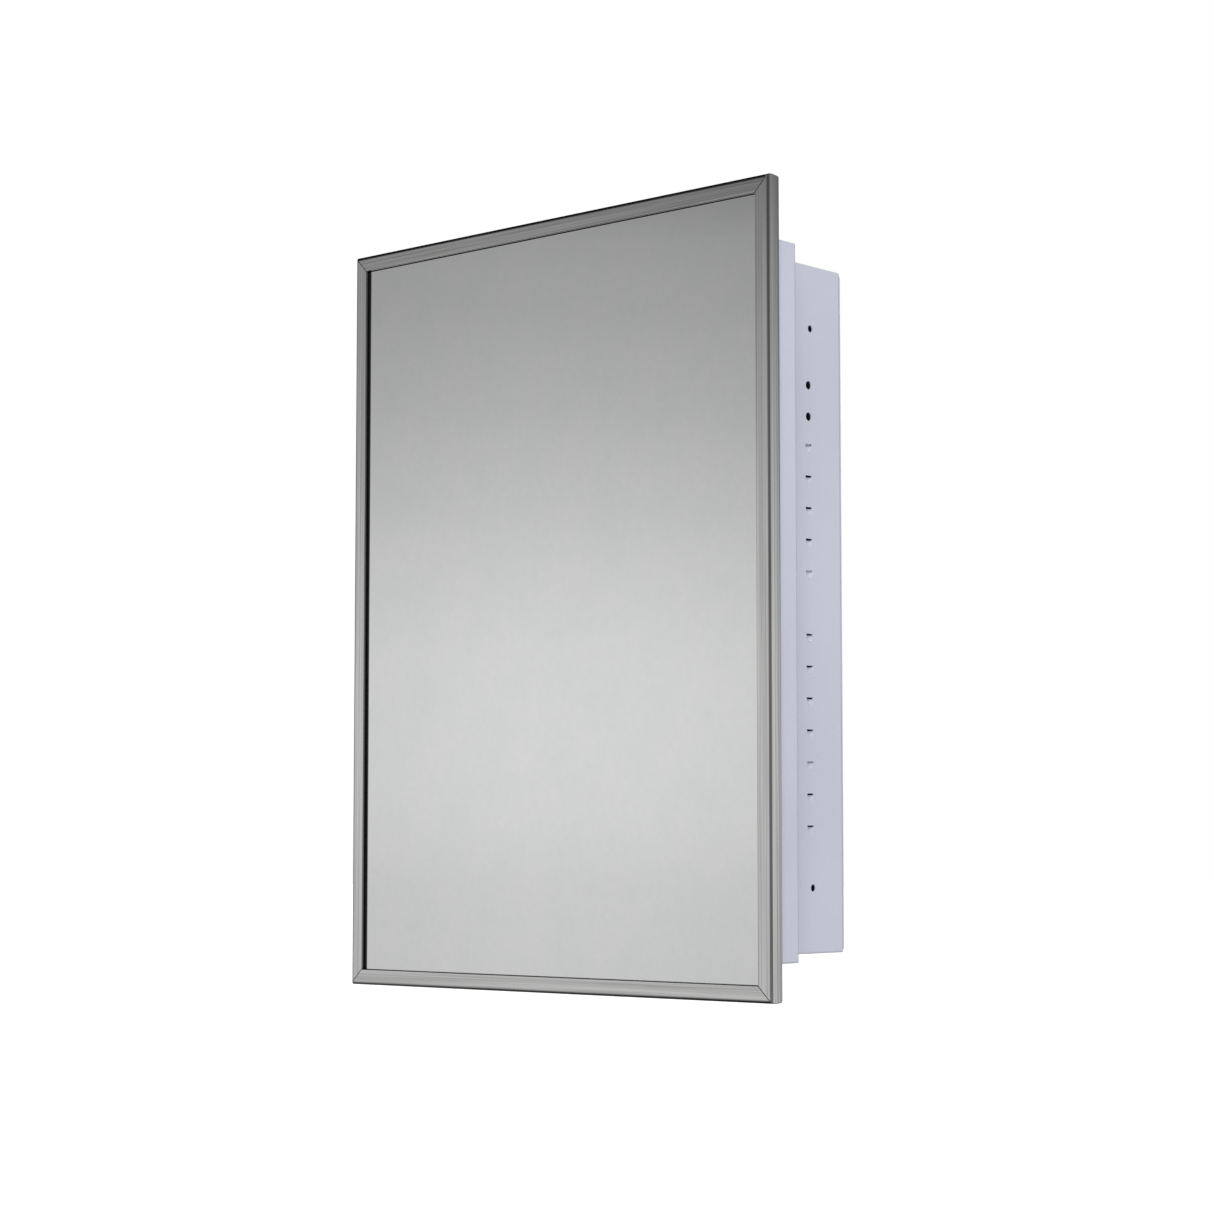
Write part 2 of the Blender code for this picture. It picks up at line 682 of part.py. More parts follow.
def make_catch(plastic, steel, ferrite):
    shape = bmesh.new()
    add_box(shape, CATCH_LOW, CATCH_HIGH)
    housing = add_object("catch_housing", shape, plastic)
    ears = bmesh.new()
    ear_low = (CATCH_HIGH.x - EAR_SHEET, EAR_DEPTH[0], -EAR_HALF_HEIGHT)
    add_box(ears, ear_low, (CATCH_HIGH.x - GAP / 10, EAR_DEPTH[1], EAR_HALF_HEIGHT))
    combine(housing, ears, "UNION")
    pocket = bmesh.new()
    low_x = stack_span(0)[0] - GAP
    high_x = stack_span(2)[1] + GAP
    half = CATCH_HIGH.z - CATCH_WALL
    pocket_back = CATCH_LOW.y + STACK_BACK + GAP
    add_box(pocket, (low_x, CATCH_LOW.y - SHEET, -half), (high_x, pocket_back, half))
    for end in (-1, 1):
        place = (CATCH_HIGH.x, CATCH_SCREW_Y, end * CATCH_SCREW_Z)
        add_cylinder(pocket, place, X_AXIS, SCREW_HOLE, 3 * EAR_SHEET)
    combine(housing, pocket, "DIFFERENCE")
    inner = ("catch_pole_inner", POLE_REACH, steel)
    outer = ("catch_pole_outer", POLE_REACH, steel)
    stack = (inner, ("catch_magnet", 0, ferrite), outer)
    for place, (name, reach, look) in enumerate(stack):
        low, high = stack_span(place)
        piece = bmesh.new()
        back = CATCH_LOW.y + STACK_BACK
        add_box(piece, (low, CATCH_LOW.y - reach, -half + GAP), (high, back, half - GAP))
        add_object(name, piece, look)


def screw_profile(head_height, length):
    """Pan head, plain shank and a short point, measured from the head's top."""
    end = head_height + length
    point = SCREW_SHANK * 0.6
    return [
        (0, 0),
        (SCREW_HEAD * 0.6, 0),
        (SCREW_HEAD, head_height * 0.5),
        (SCREW_HEAD, head_height),
        (SCREW_SHANK, head_height),
        (SCREW_SHANK, end - point),
        (SCREW_SHANK * 0.4, end),
        (0, end),
    ]


def make_screws(look, parent):
    catch_top = CATCH_HIGH.x - EAR_SHEET - GAP - SCREW_HEAD_HEIGHT
    strike_top = PANEL_BACK + 2 * GAP + STRIKE_SHEET + STRIKE_HEAD_HEIGHT
    for end, word in ((1, "upper"), (-1, "lower")):
        profile = screw_profile(SCREW_HEAD_HEIGHT, CATCH_SCREW_LENGTH)
        screw = turned(profile, (catch_top, CATCH_SCREW_Y, end * CATCH_SCREW_Z), X_AXIS)
        add_object(f"catch_screw_{word}", screw, look)
        profile = screw_profile(STRIKE_HEAD_HEIGHT, STRIKE_SCREW_LENGTH)
        screw = turned(profile, (STRIKE_SCREW_X, strike_top, end * STRIKE_SCREW_Z), -Y_AXIS)
        add_object(f"strike_screw_{word}", screw, look, parent)


def make_strike(look, parent):
    front = PANEL_BACK + GAP
    back = front + STRIKE_SHEET
    shape = bmesh.new()
    add_box(shape, (STRIKE_X[0], front, -STRIKE_HALF_HEIGHT), (STRIKE_X[1], back, STRIKE_HALF_HEIGHT))
    strike = add_object("strike_plate", shape, look, parent)
    combine(strike, strike_holes(SCREW_HOLE), "DIFFERENCE")


def make_bumpers(look):
    """Round buffers on the flange, just clear of the door's back panel."""
    foot = FLANGE_FRONT - GAP
    height = foot - PANEL_BACK - GAP
    edge = BUMPER_EDGE
    profile = [(0, 0), (BUMPER_RADIUS, 0), (BUMPER_RADIUS, height - edge)]
    profile += [(BUMPER_RADIUS - 0.3 * edge, height - 0.3 * edge)]
    profile += [(BUMPER_RADIUS - edge, height), (0, height)]
    for end, word in ((1, "upper"), (-1, "lower")):
        add_object(f"bumper_{word}", turned(profile, (BUMPER_X, foot, end * BUMPER_Z), -Y_AXIS), look)


def make_cabinet(looks):
    make_box_shell(looks["enamel"])
    make_back_panel(looks["enamel"])
    make_front_flange(looks["enamel"])
    for name, index in SHELF_POSITIONS.items():
        make_shelf(name, index, looks["enamel"])
    make_cabinet_leaf(looks["hinge"])
    make_pin(looks["hinge"])
    make_catch(looks["plastic"], looks["zinc"], looks["ferrite"])
    make_bumpers(looks["rubber"])


def make_door(looks, axis):
    make_frame(looks["stainless"], looks["gasket"], axis)
    for side_z, height in ((1, "top"), (-1, "bottom")):
        for side_x, side in ((-1, "left"), (1, "right")):
            make_corner_key(f"corner_key_{height}_{side}", side_x, side_z, looks["zinc"], axis)
    make_mirror(looks["mirror"], looks["cushion"], axis)
    make_door_back_panel(looks["enamel"], axis)
    make_door_leaf(looks["hinge"], axis)
    make_strike(looks["zinc"], axis)


def main():
    clear_scene()
    looks = {
        "enamel": material("enamel", (0.72, 0.73, 0.78), 0.35, 0.0),
        "stainless": material("stainless", (0.42, 0.42, 0.41), 0.35, 1.0),
        "mirror": material("mirror", (0.86, 0.87, 0.87), 0.03, 1.0),
        "hinge": material("hinge", (0.52, 0.52, 0.51), 0.40, 1.0),
        "zinc": material("zinc", (0.55, 0.56, 0.58), 0.45, 1.0),
        "ferrite": material("ferrite", (0.05, 0.05, 0.05), 0.70, 0.2),
        "plastic": material("plastic", (0.68, 0.68, 0.66), 0.50, 0.0),
        "rubber": material("rubber", (0.60, 0.60, 0.58), 0.80, 0.0),
        "gasket": material("gasket", (0.02, 0.02, 0.02), 0.60, 0.0),
        "cushion": material("cushion", (0.12, 0.12, 0.12), 0.90, 0.0),
    }
    axis = pivot("door_axis", (HINGE_X, HINGE_Y, 0))
    make_cabinet(looks)
    make_door(looks, axis)
    make_rivets(looks["hinge"], axis)
    make_screws(looks["zinc"], axis)


main()
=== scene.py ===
"""The looks of a recessed medicine cabinet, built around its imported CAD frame."""

import math

import bmesh
import bpy
from mathutils import Matrix, Vector


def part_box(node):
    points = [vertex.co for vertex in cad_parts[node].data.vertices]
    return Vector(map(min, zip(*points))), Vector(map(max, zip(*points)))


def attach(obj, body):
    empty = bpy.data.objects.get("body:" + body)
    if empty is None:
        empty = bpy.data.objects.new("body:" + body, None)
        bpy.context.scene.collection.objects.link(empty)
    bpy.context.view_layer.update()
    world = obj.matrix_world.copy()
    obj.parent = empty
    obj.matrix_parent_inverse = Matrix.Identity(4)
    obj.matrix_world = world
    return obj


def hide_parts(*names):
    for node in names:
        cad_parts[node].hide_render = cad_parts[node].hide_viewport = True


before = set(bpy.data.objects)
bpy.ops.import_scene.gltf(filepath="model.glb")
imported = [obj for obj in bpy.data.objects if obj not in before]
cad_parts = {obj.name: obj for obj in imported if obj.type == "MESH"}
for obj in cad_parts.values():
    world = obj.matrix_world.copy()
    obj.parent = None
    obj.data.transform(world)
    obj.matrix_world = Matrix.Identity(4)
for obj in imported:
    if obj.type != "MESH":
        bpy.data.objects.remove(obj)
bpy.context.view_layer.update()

X_AXIS = Vector((1, 0, 0))
Y_AXIS = Vector((0, 1, 0))
Z_AXIS = Vector((0, 0, 1))

# Lengths are in metres and angles in degrees.

# Sheet metal, as in the CAD part
SHEET = 0.0009
GAP = 0.0003
BEND = 0.0020
CORNER = 0.0030

# Corners and edges of the visible shapes
OUTER_CORNER = 0.0018
LEAST_CORNER = 0.0004
EDGE_SOFTNESS = 0.00018
FOLD_SOFTNESS = 0.00015
CUT_SOFTNESS = 0.00012
ROLL_SOFTNESS = 0.0001
BEND_STEPS = 8
CORNER_STEPS = 8
ROUND_SIDES = 32
SMOOTH_ANGLE = 32
LEAST_LEAN = 0.4

# Door frame channel, with an outer leg that leans inwards towards the rear
FRAME_SIDES = (("top", "x", 1), ("bottom", "x", -1), ("left", "z", -1), ("right", "z", 1))
FRAME_LIP = 0.0013
FRAME_LIP_EDGE = 0.0007
FRAME_REAR_LEG = 0.0105
FRAME_FRONT_BEND = 0.0029
FRAME_REAR_BEND = 0.0016
FRAME_LEAN = 6.5
FRAME_LEAN_RADIUS = 0.0620
LIP_STEPS = 5
FRONT_BEND_STEPS = 10
INSIDE_STEPS = 4
REAR_INSIDE_STEPS = 3
MITRE_GAP = 0.00015
MITRE_SOFTNESS = 0.00018
GLASS_ARRIS = 0.0006
GASKET_ROUNDNESS = 0.7
GASKET_STEPS = 4

# Holes and shelf rests in the box sides. A pressed rest is half a dome with an open slit on top.
MOUNT_HOLE_RADIUS = 0.0025
MOUNT_HOLE_PLACES = ((-0.03735, -0.1959), (-0.03735, 0.1959))
REST_PITCH = 0.022225
REST_ROWS = (-0.03965, -0.08095)
LANCED_RESTS = (-7, -6, -5, -4, -3, -2, -1, 1, 2, 3, 4, 5)
OPEN_RESTS = (6, 7)
OPEN_REST_RADIUS = 0.0030
LANCE_RAISE = 0.0012
LANCE_LENGTH = 0.0090
LANCE_SLIT = 0.0016
LANCE_RIM = 0.0006
LANCE_DROP = 0.0050
LANCE_REACH = 0.0024
LANCE_SHEET = 0.0007
DOME_LEVELS = (0, 15, 30, 45, 60, 75, 86)
DOME_TURN = 15

# Box, flange and shelves. The rear bends are sharper at the top and bottom than at the sides.
FLANGE_RETURN = 0.0038
REAR_BEND = 0.0034
END_REAR_BEND = 0.0012
FLANGE_INNER_LEG = 0.0100
INNER_BEND = 0.0016
REAR_RETURN = 0.0040
SHELF_LIP_FRONT = 0.0110
SHELF_LIP_REAR = 0.0080
SHELF_BEND = 0.0014

# Piano hinge
KNUCKLES = 24
KNUCKLE_GAP = 0.0006
LEAF_SURFACE = 0.0022
LEAF_SHEET = 0.0007
LEAF_CLEARANCE = 0.0028
LEAF_WIDTH = 0.0150
LEAF_OVERLAP = 0.0004
LEAF_CORNER = 0.0008
LEAF_CORNER_STEPS = 3
ROLL_END = 385
ROLL_STEPS = 24
PIN_END = ((0.35, 0), (0.75, 0.00012), (0.95, 0.0004), (1, 0.0008))
RIVETS = 6
RIVET_DOME = (6, 20, 34, 48, 60, 72, 82, 90)
RIVET_CROWN = 0.9
RIVET_HEAD_HEIGHT = 0.0008
RIVET_SHANK = 0.0012
RIVET_TAIL = 0.0018
RIVET_TAIL_HEIGHT = 0.0006
RIVET_TAIL_EDGE = 0.00025
RIVET_TAIL_END = 0.8

# Screws: the pan head is (share of its radius, share of its height)
SCREW_HEAD_HEIGHTS = {"catch": 0.0013, "strike": 0.0008}
PAN_HEAD = ((0.3, 0), (0.62, 0.06), (0.84, 0.25), (0.96, 0.55), (1, 0.85), (0.97, 1))
SCREW_SHANK = 0.0013
SCREW_TIP = 0.3
SCREW_TAPER = 0.6
THREAD_PITCH = 0.0008
THREAD_DEPTH = 0.00022
CROSS_REACH = 0.00145
CROSS_WIDTH = 0.00033
CROSS_DEPTH = 0.00065
CROSS_TOP = 1.25
CROSS_FLOOR = 0.7

# Catch, strike and bumpers
CATCH_HALF_HEIGHT = 0.0140
CATCH_ROUNDING = 0.0009
ROUNDING_STEPS = 3
EAR_SHEET = 0.0020
EAR_DEPTHS = (-0.1040, -0.0960)
EAR_ROUNDNESS = 0.85
SCREW_HOLE = 0.0017
POLE_ROUNDING = 0.0003
STRIKE_CORNER = 0.0025
STRIKE_ROUNDING = 0.0003
BUMPER_FOOT = 0.97
BUMPER_EDGE = 0.0003
BUMPER_ROUNDING = 0.0013
BUMPER_CURVE = (15, 30, 45, 60, 75, 90)
BUMPER_CROWN = 0.9
BUMPER_TOP = ((0.4, 0.00004), (0.1, 0))

# Materials. A grain is its noise scale across and along the brushing.
WHITE = (1, 1, 1, 1)
ENAMEL = (0.695, 0.705, 0.822)
HAIRLINE_GRAIN = (2200.0, 14.0)
STREAK_GRAIN = (620.0, 3.5)
STEEL_TONES = (
    (0.3, (0.52, 0.52, 0.515)),
    (0.5, (0.76, 0.76, 0.755)),
    (0.7, (0.92, 0.92, 0.915)),
)
MIRROR_TONES = ((0.3, (0.865, 0.875, 0.875)), (0.7, (0.90, 0.905, 0.90)))

# Camera
CAMERA_PLACE = (1.3324, -1.5541, -0.1686)
CAMERA_PITCH = 94.286
CAMERA_TURN = 41.654
CAMERA_LENS = 81.13
CAMERA_SHIFT = 0.03

# Softboxes, all aimed at the cabinet: name, place, size and power
SOFTBOXES = (
    ("key_light", (2.2, -2.4, 2.0), 1.8, 55),
    ("fill_light", (-2.4, -2.0, 1.2), 2.2, 12),
    ("rear_light", (-2.3, 2.3, 1.6), 2.2, 40),
)

# Floor
FLOOR_HEIGHT = -0.9
FLOOR_REACH = 40
FLOOR_CELLS = 8
FLOOR_GLOW = 0.75
FLOOR_TONES = ((0.3, (0.88, 0.88, 0.88)), (0.7, (0.90, 0.90, 0.90)))

# What polished metal reflects: brightness by height above the horizon, and a factor by direction
# round the cabinet, where 0 is straight in front and 90 is at its right.
ROOM_BY_HEIGHT = (
    (-90, 0.01), (-55, 0.02), (-45, 0.04), (-38, 0.14), (-31, 0.33), (-24, 0.45), (-10, 0.57),
    (-3, 0.63), (-0.7, 0.67), (0.4, 0.715), (2.5, 0.735), (4.6, 0.705), (6.7, 0.61), (8.8, 0.505),
    (10.8, 0.42), (12.9, 0.345), (14.5, 0.20), (17, 0.11), (20, 0.07), (27, 0.05), (40, 0.03),
    (90, 0.02),
)
ROOM_BY_DIRECTION = (
    (-180, 0.25), (-150, 0.16), (-125, 0.14), (-100, 0.2), (-80, 0.34), (-66, 0.46), (-56, 0.68),
    (-50, 0.86), (-46.5, 0.93), (-42.5, 1.01), (-38.5, 0.94), (-34, 0.89), (-20, 0.88), (2, 0.86),
    (18, 0.34), (84, 0.34), (104, 0.95), (137, 1.0), (150, 0.75), (163, 0.4), (180, 0.25),
)
# The factor by direction fades to an even one towards the floor, between these two heights.
UNEVEN_ABOVE = -4
EVEN_BELOW = -11
FLOOR_FACTOR = 0.9
# The fill on matt surfaces, from straight behind the cabinet (0) to straight in front of it (1).
SOFT_FILL = ((0.0, 0.36), (0.3, 0.34), (0.5, 0.70), (0.62, 0.96), (0.8, 0.84), (1.0, 0.60))


# Shapes


def arc(centre, radius, start, end, steps=BEND_STEPS):
    """Points (u, v) on a circle from one angle to another, in degrees, both ends included."""
    points = []
    for step in range(steps + 1):
        angle = math.radians(start + (end - start) * step / steps)
        points.append((centre[0] + radius * math.cos(angle), centre[1] + radius * math.sin(angle)))
    return points


def rounded_rectangle(half_width, half_height, radius, steps=CORNER_STEPS):
    """Points (u, v) of a rectangle with round corners, anticlockwise from its right side."""
    points = []
    for start, side_u, side_v in ((0, 1, 1), (90, -1, 1), (180, -1, -1), (270, 1, -1)):
        centre = (side_u * (half_width - radius), side_v * (half_height - radius))
        points += arc(centre, radius, start, start + 90, steps)
    return points


def shrunk(outline, inset):
    """A closed outline (u, v) moved inwards by a small distance."""
    area = 0
    for index, (u, v) in enumerate(outline):
        after = outline[(index + 1) % len(outline)]
        area += u * after[1] - v * after[0]
    turn = 1 if area > 0 else -1
    moved = []
    for index, point in enumerate(outline):
        here = Vector(point)
        before = Vector(outline[index - 1])
        after = Vector(outline[(index + 1) % len(outline)])
        first = (here - before).normalized()
        second = (after - here).normalized()
        normal = Vector((-first.y - second.y, first.x + second.x)) * turn
        normal.normalize()
        lean = max(LEAST_LEAN, normal.dot(Vector((-second.y, second.x)) * turn))
        moved.append(tuple(here + normal * inset / lean))
    return moved


def loft(shape, rings, closed=False, capped=True):
    """Joins rings of 3D points, all of one length, with faces."""
    made = [[shape.verts.new(point) for point in ring] for ring in rings]
    count = len(made[0])
    spans = list(zip(made, made[1:]))
    if closed:
        spans.append((made[-1], made[0]))
    for ring, following in spans:
        for side in range(count):
            after = (side + 1) % count
            shape.faces.new((ring[side], ring[after], following[after], following[side]))
    if capped and not closed:
        shape.faces.new(made[0])
        shape.faces.new(reversed(made[-1]))


def add_prism(shape, outline, shift):
    loft(shape, (outline, [Vector(point) + shift for point in outline]))


def add_box(shape, low, high):
    size = Vector(high) - Vector(low)
    centre = (Vector(high) + Vector(low)) / 2
    bmesh.ops.create_cube(shape, size=1, matrix=Matrix.LocRotScale(centre, None, size))


def circle(centre, axis, radius):
    across = Z_AXIS if abs(axis.z) < 0.5 else Y_AXIS
    other = axis.cross(across)
    points = []
    for side in range(ROUND_SIDES):
        angle = 2 * math.pi * side / ROUND_SIDES
        out = math.cos(angle) * across + math.sin(angle) * other
        points.append(Vector(centre) + radius * out)
    return points


def add_cylinder(shape, centre, axis, radius, length):
    add_prism(shape, circle(Vector(centre) - axis * length / 2, axis, radius), axis * length)


def turned(profile, start, axis):
    """A solid of revolution from (radius, distance) points. Both ends are closed flat."""
    shape = bmesh.new()
    rings = [circle(Vector(start) + axis * distance, axis, radius) for radius, distance in profile]
    loft(shape, rings)
    return shape


def sweep_loops(loops):
    """A closed ring from round rectangles (half width, half height, corner radius, depth)."""
    shape = bmesh.new()
    rings = []
    for half_width, half_height, radius, depth in loops:
        rings.append([(x, depth, z) for x, z in rounded_rectangle(half_width, half_height, radius)])
    loft(shape, rings, closed=True)
    return shape


def middle_of(low, high):
    return tuple((a + b) / 2 for a, b in zip(low, high))


def plate(node, corner, edge):
    """A node's flat sheet across the Y axis, with round corners and softened rims."""
    low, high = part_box(node)
    middle_x, _, middle_z = middle_of(low, high)
    half_width, half_height = (high.x - low.x) / 2, (high.z - low.z) / 2
    shape = bmesh.new()
    rings = []
    for inset, depth in ((edge, low.y), (0, low.y + edge), (0, high.y - edge), (edge, high.y)):
        outline = rounded_rectangle(half_width - inset, half_height - inset, corner)
        rings.append([(middle_x + x, depth, middle_z + z) for x, z in outline])
    loft(shape, rings)
    return shape


def sharp_edges(shape, angle):
    inner = [edge for edge in shape.edges if len(edge.link_faces) == 2]
    return [edge for edge in inner if edge.calc_face_angle(0) > angle]


def soften(shape, width, segments=2, angle=40):
    """Rounds the edges that turn by more than an angle in degrees."""
    bmesh.ops.recalc_face_normals(shape, faces=shape.faces)
    bmesh.ops.bevel(
        shape,
        geom=sharp_edges(shape, math.radians(angle)),
        offset=width,
        segments=segments,
        profile=0.5,
        affect="EDGES",
        clamp_overlap=True,
    )


def combined(shape, tool, operation):
    """The exact Boolean of two shapes, as a new one."""
    working = []
    for part in (shape, tool):
        bmesh.ops.recalc_face_normals(part, faces=part.faces)
        mesh = bpy.data.meshes.new("working")
        part.to_mesh(mesh)
        part.free()
        working.append(bpy.data.objects.new("working", mesh))
        bpy.context.scene.collection.objects.link(working[-1])
    step = working[0].modifiers.new("step", "BOOLEAN")
    step.operation = operation
    step.solver = "EXACT"
    step.object = working[1]
    graph = bpy.context.evaluated_depsgraph_get()
    mesh = bpy.data.meshes.new_from_object(working[0].evaluated_get(graph))
    result = bmesh.new()
    result.from_mesh(mesh)
    bpy.data.meshes.remove(mesh)
    for thing in working:
        bpy.data.objects.remove(thing)
    return result


def add_piece(name, shape, look, body, node):
    """Turns a shape into a piece that rides on a body and stands for a CAD node."""
    bmesh.ops.recalc_face_normals(shape, faces=shape.faces)
    mesh = bpy.data.meshes.new(name)
    shape.to_mesh(mesh)
    shape.free()
    mesh.shade_smooth()
    mesh.set_sharp_from_angle(angle=math.radians(SMOOTH_ANGLE))
    mesh.materials.append(look)
    made = bpy.data.objects.new(name, mesh)
    bpy.context.scene.collection.objects.link(made)
    weighting = made.modifiers.new("flat_faces_stay_flat", "WEIGHTED_NORMAL")
    weighting.keep_sharp = True
    weighting.weight = 100
    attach(made, body)
    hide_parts(node)


# Materials


class Look:
    """A node material around one Principled shader."""

    def __init__(self, name):
        self.material = bpy.data.materials.new(name)
        self.material.use_nodes = True
        self.tree = self.material.node_tree
        self.shader = self.tree.nodes["Principled BSDF"]
        coordinates = self.add("ShaderNodeTexCoord")
        self.place = coordinates.outputs["Object"]

    def add(self, kind, **values):
        node = self.tree.nodes.new(kind)
        for key, value in values.items():
            setattr(node, key, value)
        return node

    def link(self, start, end):
        self.tree.links.new(start, end)

    def set(self, **values):
        for key, value in values.items():
            self.shader.inputs[key.replace("_", " ")].default_value = value

    def stretched(self, scale):
        mapping = self.add("ShaderNodeMapping")
        mapping.inputs["Scale"].default_value = scale
        self.link(self.place, mapping.inputs["Vector"])
        return mapping.outputs["Vector"]

    def noise(self, scale, detail=3.0, roughness=0.5, place=None):
        node = self.add("ShaderNodeTexNoise")
        node.inputs["Scale"].default_value = scale
        node.inputs["Detail"].default_value = detail
        node.inputs["Roughness"].default_value = roughness
        self.link(place or self.place, node.inputs["Vector"])
        return node.outputs["Fac"]

    def spread(self, factor, low, high):
        """Maps the usual values of a noise to a range."""
        node = self.add("ShaderNodeMapRange")
        node.inputs["From Min"].default_value = 0.3
        node.inputs["From Max"].default_value = 0.7
        node.inputs["To Min"].default_value = low
        node.inputs["To Max"].default_value = high
        self.link(factor, node.inputs["Value"])
        return node.outputs["Result"]

    def ramp(self, factor, stops):
        node = self.add("ShaderNodeValToRGB")
        elements = node.color_ramp.elements
        while len(elements) < len(stops):
            elements.new(0.5)
        for element, (position, colour) in zip(elements, stops):
            element.position = position
            element.color = (*colour, 1)
        self.link(factor, node.inputs["Fac"])
        return node.outputs["Color"]

    def multiply(self, first, second):
        node = self.add("ShaderNodeMix", data_type="RGBA", blend_type="MULTIPLY")
        node.inputs["Factor"].default_value = 1
        self.link(first, node.inputs["A"])
        self.link(second, node.inputs["B"])
        return node.outputs["Result"]

    def sum(self, first, second, weight=1.0):
        node = self.add("ShaderNodeMath", operation="MULTIPLY_ADD")
        self.link(second, node.inputs[0])
        node.inputs[1].default_value = weight
        self.link(first, node.inputs[2])
        return node.outputs["Value"]

    def bump(self, height, distance):
        node = self.add("ShaderNodeBump")
        node.inputs["Distance"].default_value = distance
        self.link(height, node.inputs["Height"])
        self.link(node.outputs["Normal"], self.shader.inputs["Normal"])

    def colour(self, output):
        self.link(output, self.shader.inputs["Base Color"])

    def rough(self, output):
        self.link(output, self.shader.inputs["Roughness"])


def shade(colour, factor):
    return tuple(channel * factor for channel in colour)


def speckle(start, dark, end):
    """Ramp stops from a grey to white."""
    return ((start, (dark, dark, dark)), (end, (1, 1, 1)))


def enamel_look():
    """Baked enamel on steel: a soft gloss, a faint orange peel and a slightly uneven coat."""
    look = Look("enamel")
    cloud = look.noise(9.0, 4.0, 0.55)
    fleck = look.noise(700.0, 2.0, 0.6)
    tint = look.ramp(cloud, ((0.32, shade(ENAMEL, 0.965)), (0.68, shade(ENAMEL, 1.02))))
    grain = look.ramp(fleck, ((0.25, (0.955, 0.955, 0.96)), (0.6, (1, 1, 1))))
    look.colour(look.multiply(tint, grain))
    look.rough(look.spread(look.noise(55.0, 4.0, 0.6), 0.33, 0.45))
    peel = look.sum(look.noise(420.0, 2.0, 0.4), look.noise(95.0, 2.0, 0.4), 1.6)
    look.bump(peel, 0.000035)
    look.set(Specular_IOR_Level=0.5, IOR=1.5)
    return look.material


def stainless_look(name, along):
    """Brushed stainless steel whose grain runs along one axis."""
    look = Look(name)
    grains = []
    for across, lengthwise in (HAIRLINE_GRAIN, STREAK_GRAIN):
        scale = [lengthwise if axis == along else across for axis in "xyz"]
        grains.append(look.noise(1.0, 3.0, 0.6, look.stretched(scale)))
    hairline, streak = grains
    cloud = look.noise(14.0, 3.0, 0.5)
    tint = look.ramp(streak, STEEL_TONES)
    look.colour(look.multiply(tint, look.ramp(hairline, speckle(0.3, 0.84, 0.62))))
    look.rough(look.sum(look.spread(streak, 0.12, 0.19), look.spread(cloud, -0.015, 0.015)))
    look.bump(look.sum(hairline, streak, 0.8), 0.000004)
    look.set(Metallic=1.0)
    return look.material


def mirror_look():
    """Silvered glass: bright metal under a clear first surface, with the faintest haze."""
    look = Look("mirror")
    cloud = look.noise(26.0, 4.0, 0.6)
    haze = look.noise(160.0, 3.0, 0.6)
    tint = look.ramp(cloud, MIRROR_TONES)
    look.colour(look.multiply(tint, look.ramp(haze, speckle(0.3, 0.975, 0.7))))
    look.rough(look.spread(cloud, 0.015, 0.05))
    look.set(Metallic=1.0, Coat_Weight=0.6, Coat_Roughness=0.0, Coat_IOR=1.5)
    return look.material


def metal_look(name, base, roughness, grain=900.0, wear=0.12):
    """Plain or plated metal with a fine matt grain and faint handling marks."""
    look = Look(name)
    fine = look.noise(grain, 3.0, 0.6)
    cloud = look.noise(70.0, 4.0, 0.6)
    tint = look.ramp(cloud, ((0.3, shade(base, 1 - wear)), (0.7, shade(base, 1 + wear / 2))))
    look.colour(look.multiply(tint, look.ramp(fine, speckle(0.3, 0.9, 0.6))))
    look.rough(look.spread(cloud, roughness - 0.07, roughness + 0.07))
    look.bump(look.sum(fine, cloud, 0.5), 0.000015)
    look.set(Metallic=1.0)
    return look.material


def moulded_look(name, base, roughness, grain=1100.0, depth=0.00003, spread=0.08):
    """Moulded plastic or rubber with a fine surface texture and a slightly uneven tone."""
    look = Look(name)
    fine = look.noise(grain, 2.0, 0.5)
    cloud = look.noise(120.0, 4.0, 0.6)
    tint = look.ramp(cloud, ((0.3, shade(base, 1 - spread)), (0.7, shade(base, 1 + spread))))
    look.colour(look.multiply(tint, look.ramp(fine, speckle(0.3, 0.93, 0.65))))
    look.rough(look.spread(cloud, roughness - 0.06, roughness + 0.06))
    look.bump(fine, depth)
    return look.material


LOOKS = {
    "enamel": enamel_look(),
    "stainless_x": stainless_look("stainless_x", "x"),
    "stainless_z": stainless_look("stainless_z", "z"),
    "mirror": mirror_look(),
    "hinge": metal_look("hinge", (0.60, 0.60, 0.59), 0.34),
    "zinc": metal_look("zinc", (0.62, 0.63, 0.66), 0.38, 500.0, 0.18),
    "ferrite": moulded_look("ferrite", (0.035, 0.034, 0.034), 0.62, 700.0, 0.00006, 0.25),
    "plastic": moulded_look("plastic", (0.74, 0.74, 0.72), 0.42),
    "rubber": moulded_look("rubber", (0.66, 0.67, 0.68), 0.55, 800.0, 0.00004),
    "gasket": moulded_look("gasket", (0.012, 0.012, 0.013), 0.55, 900.0, 0.00004, 0.25),
    "cushion": moulded_look("cushion", (0.10, 0.10, 0.105), 0.9, 500.0, 0.00025, 0.2),
}


# Door frame and mirror


def door_edges():
    """Half width, half height, centre height, front and back of the door frame."""
    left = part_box("frame_left")[0].x
    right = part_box("frame_right")[1].x
    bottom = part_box("frame_bottom")[0].z
    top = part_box("frame_top")[1].z
    front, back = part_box("frame_top")[0].y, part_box("frame_top")[1].y
    return (right - left) / 2, (top - bottom) / 2, (top + bottom) / 2, front, back


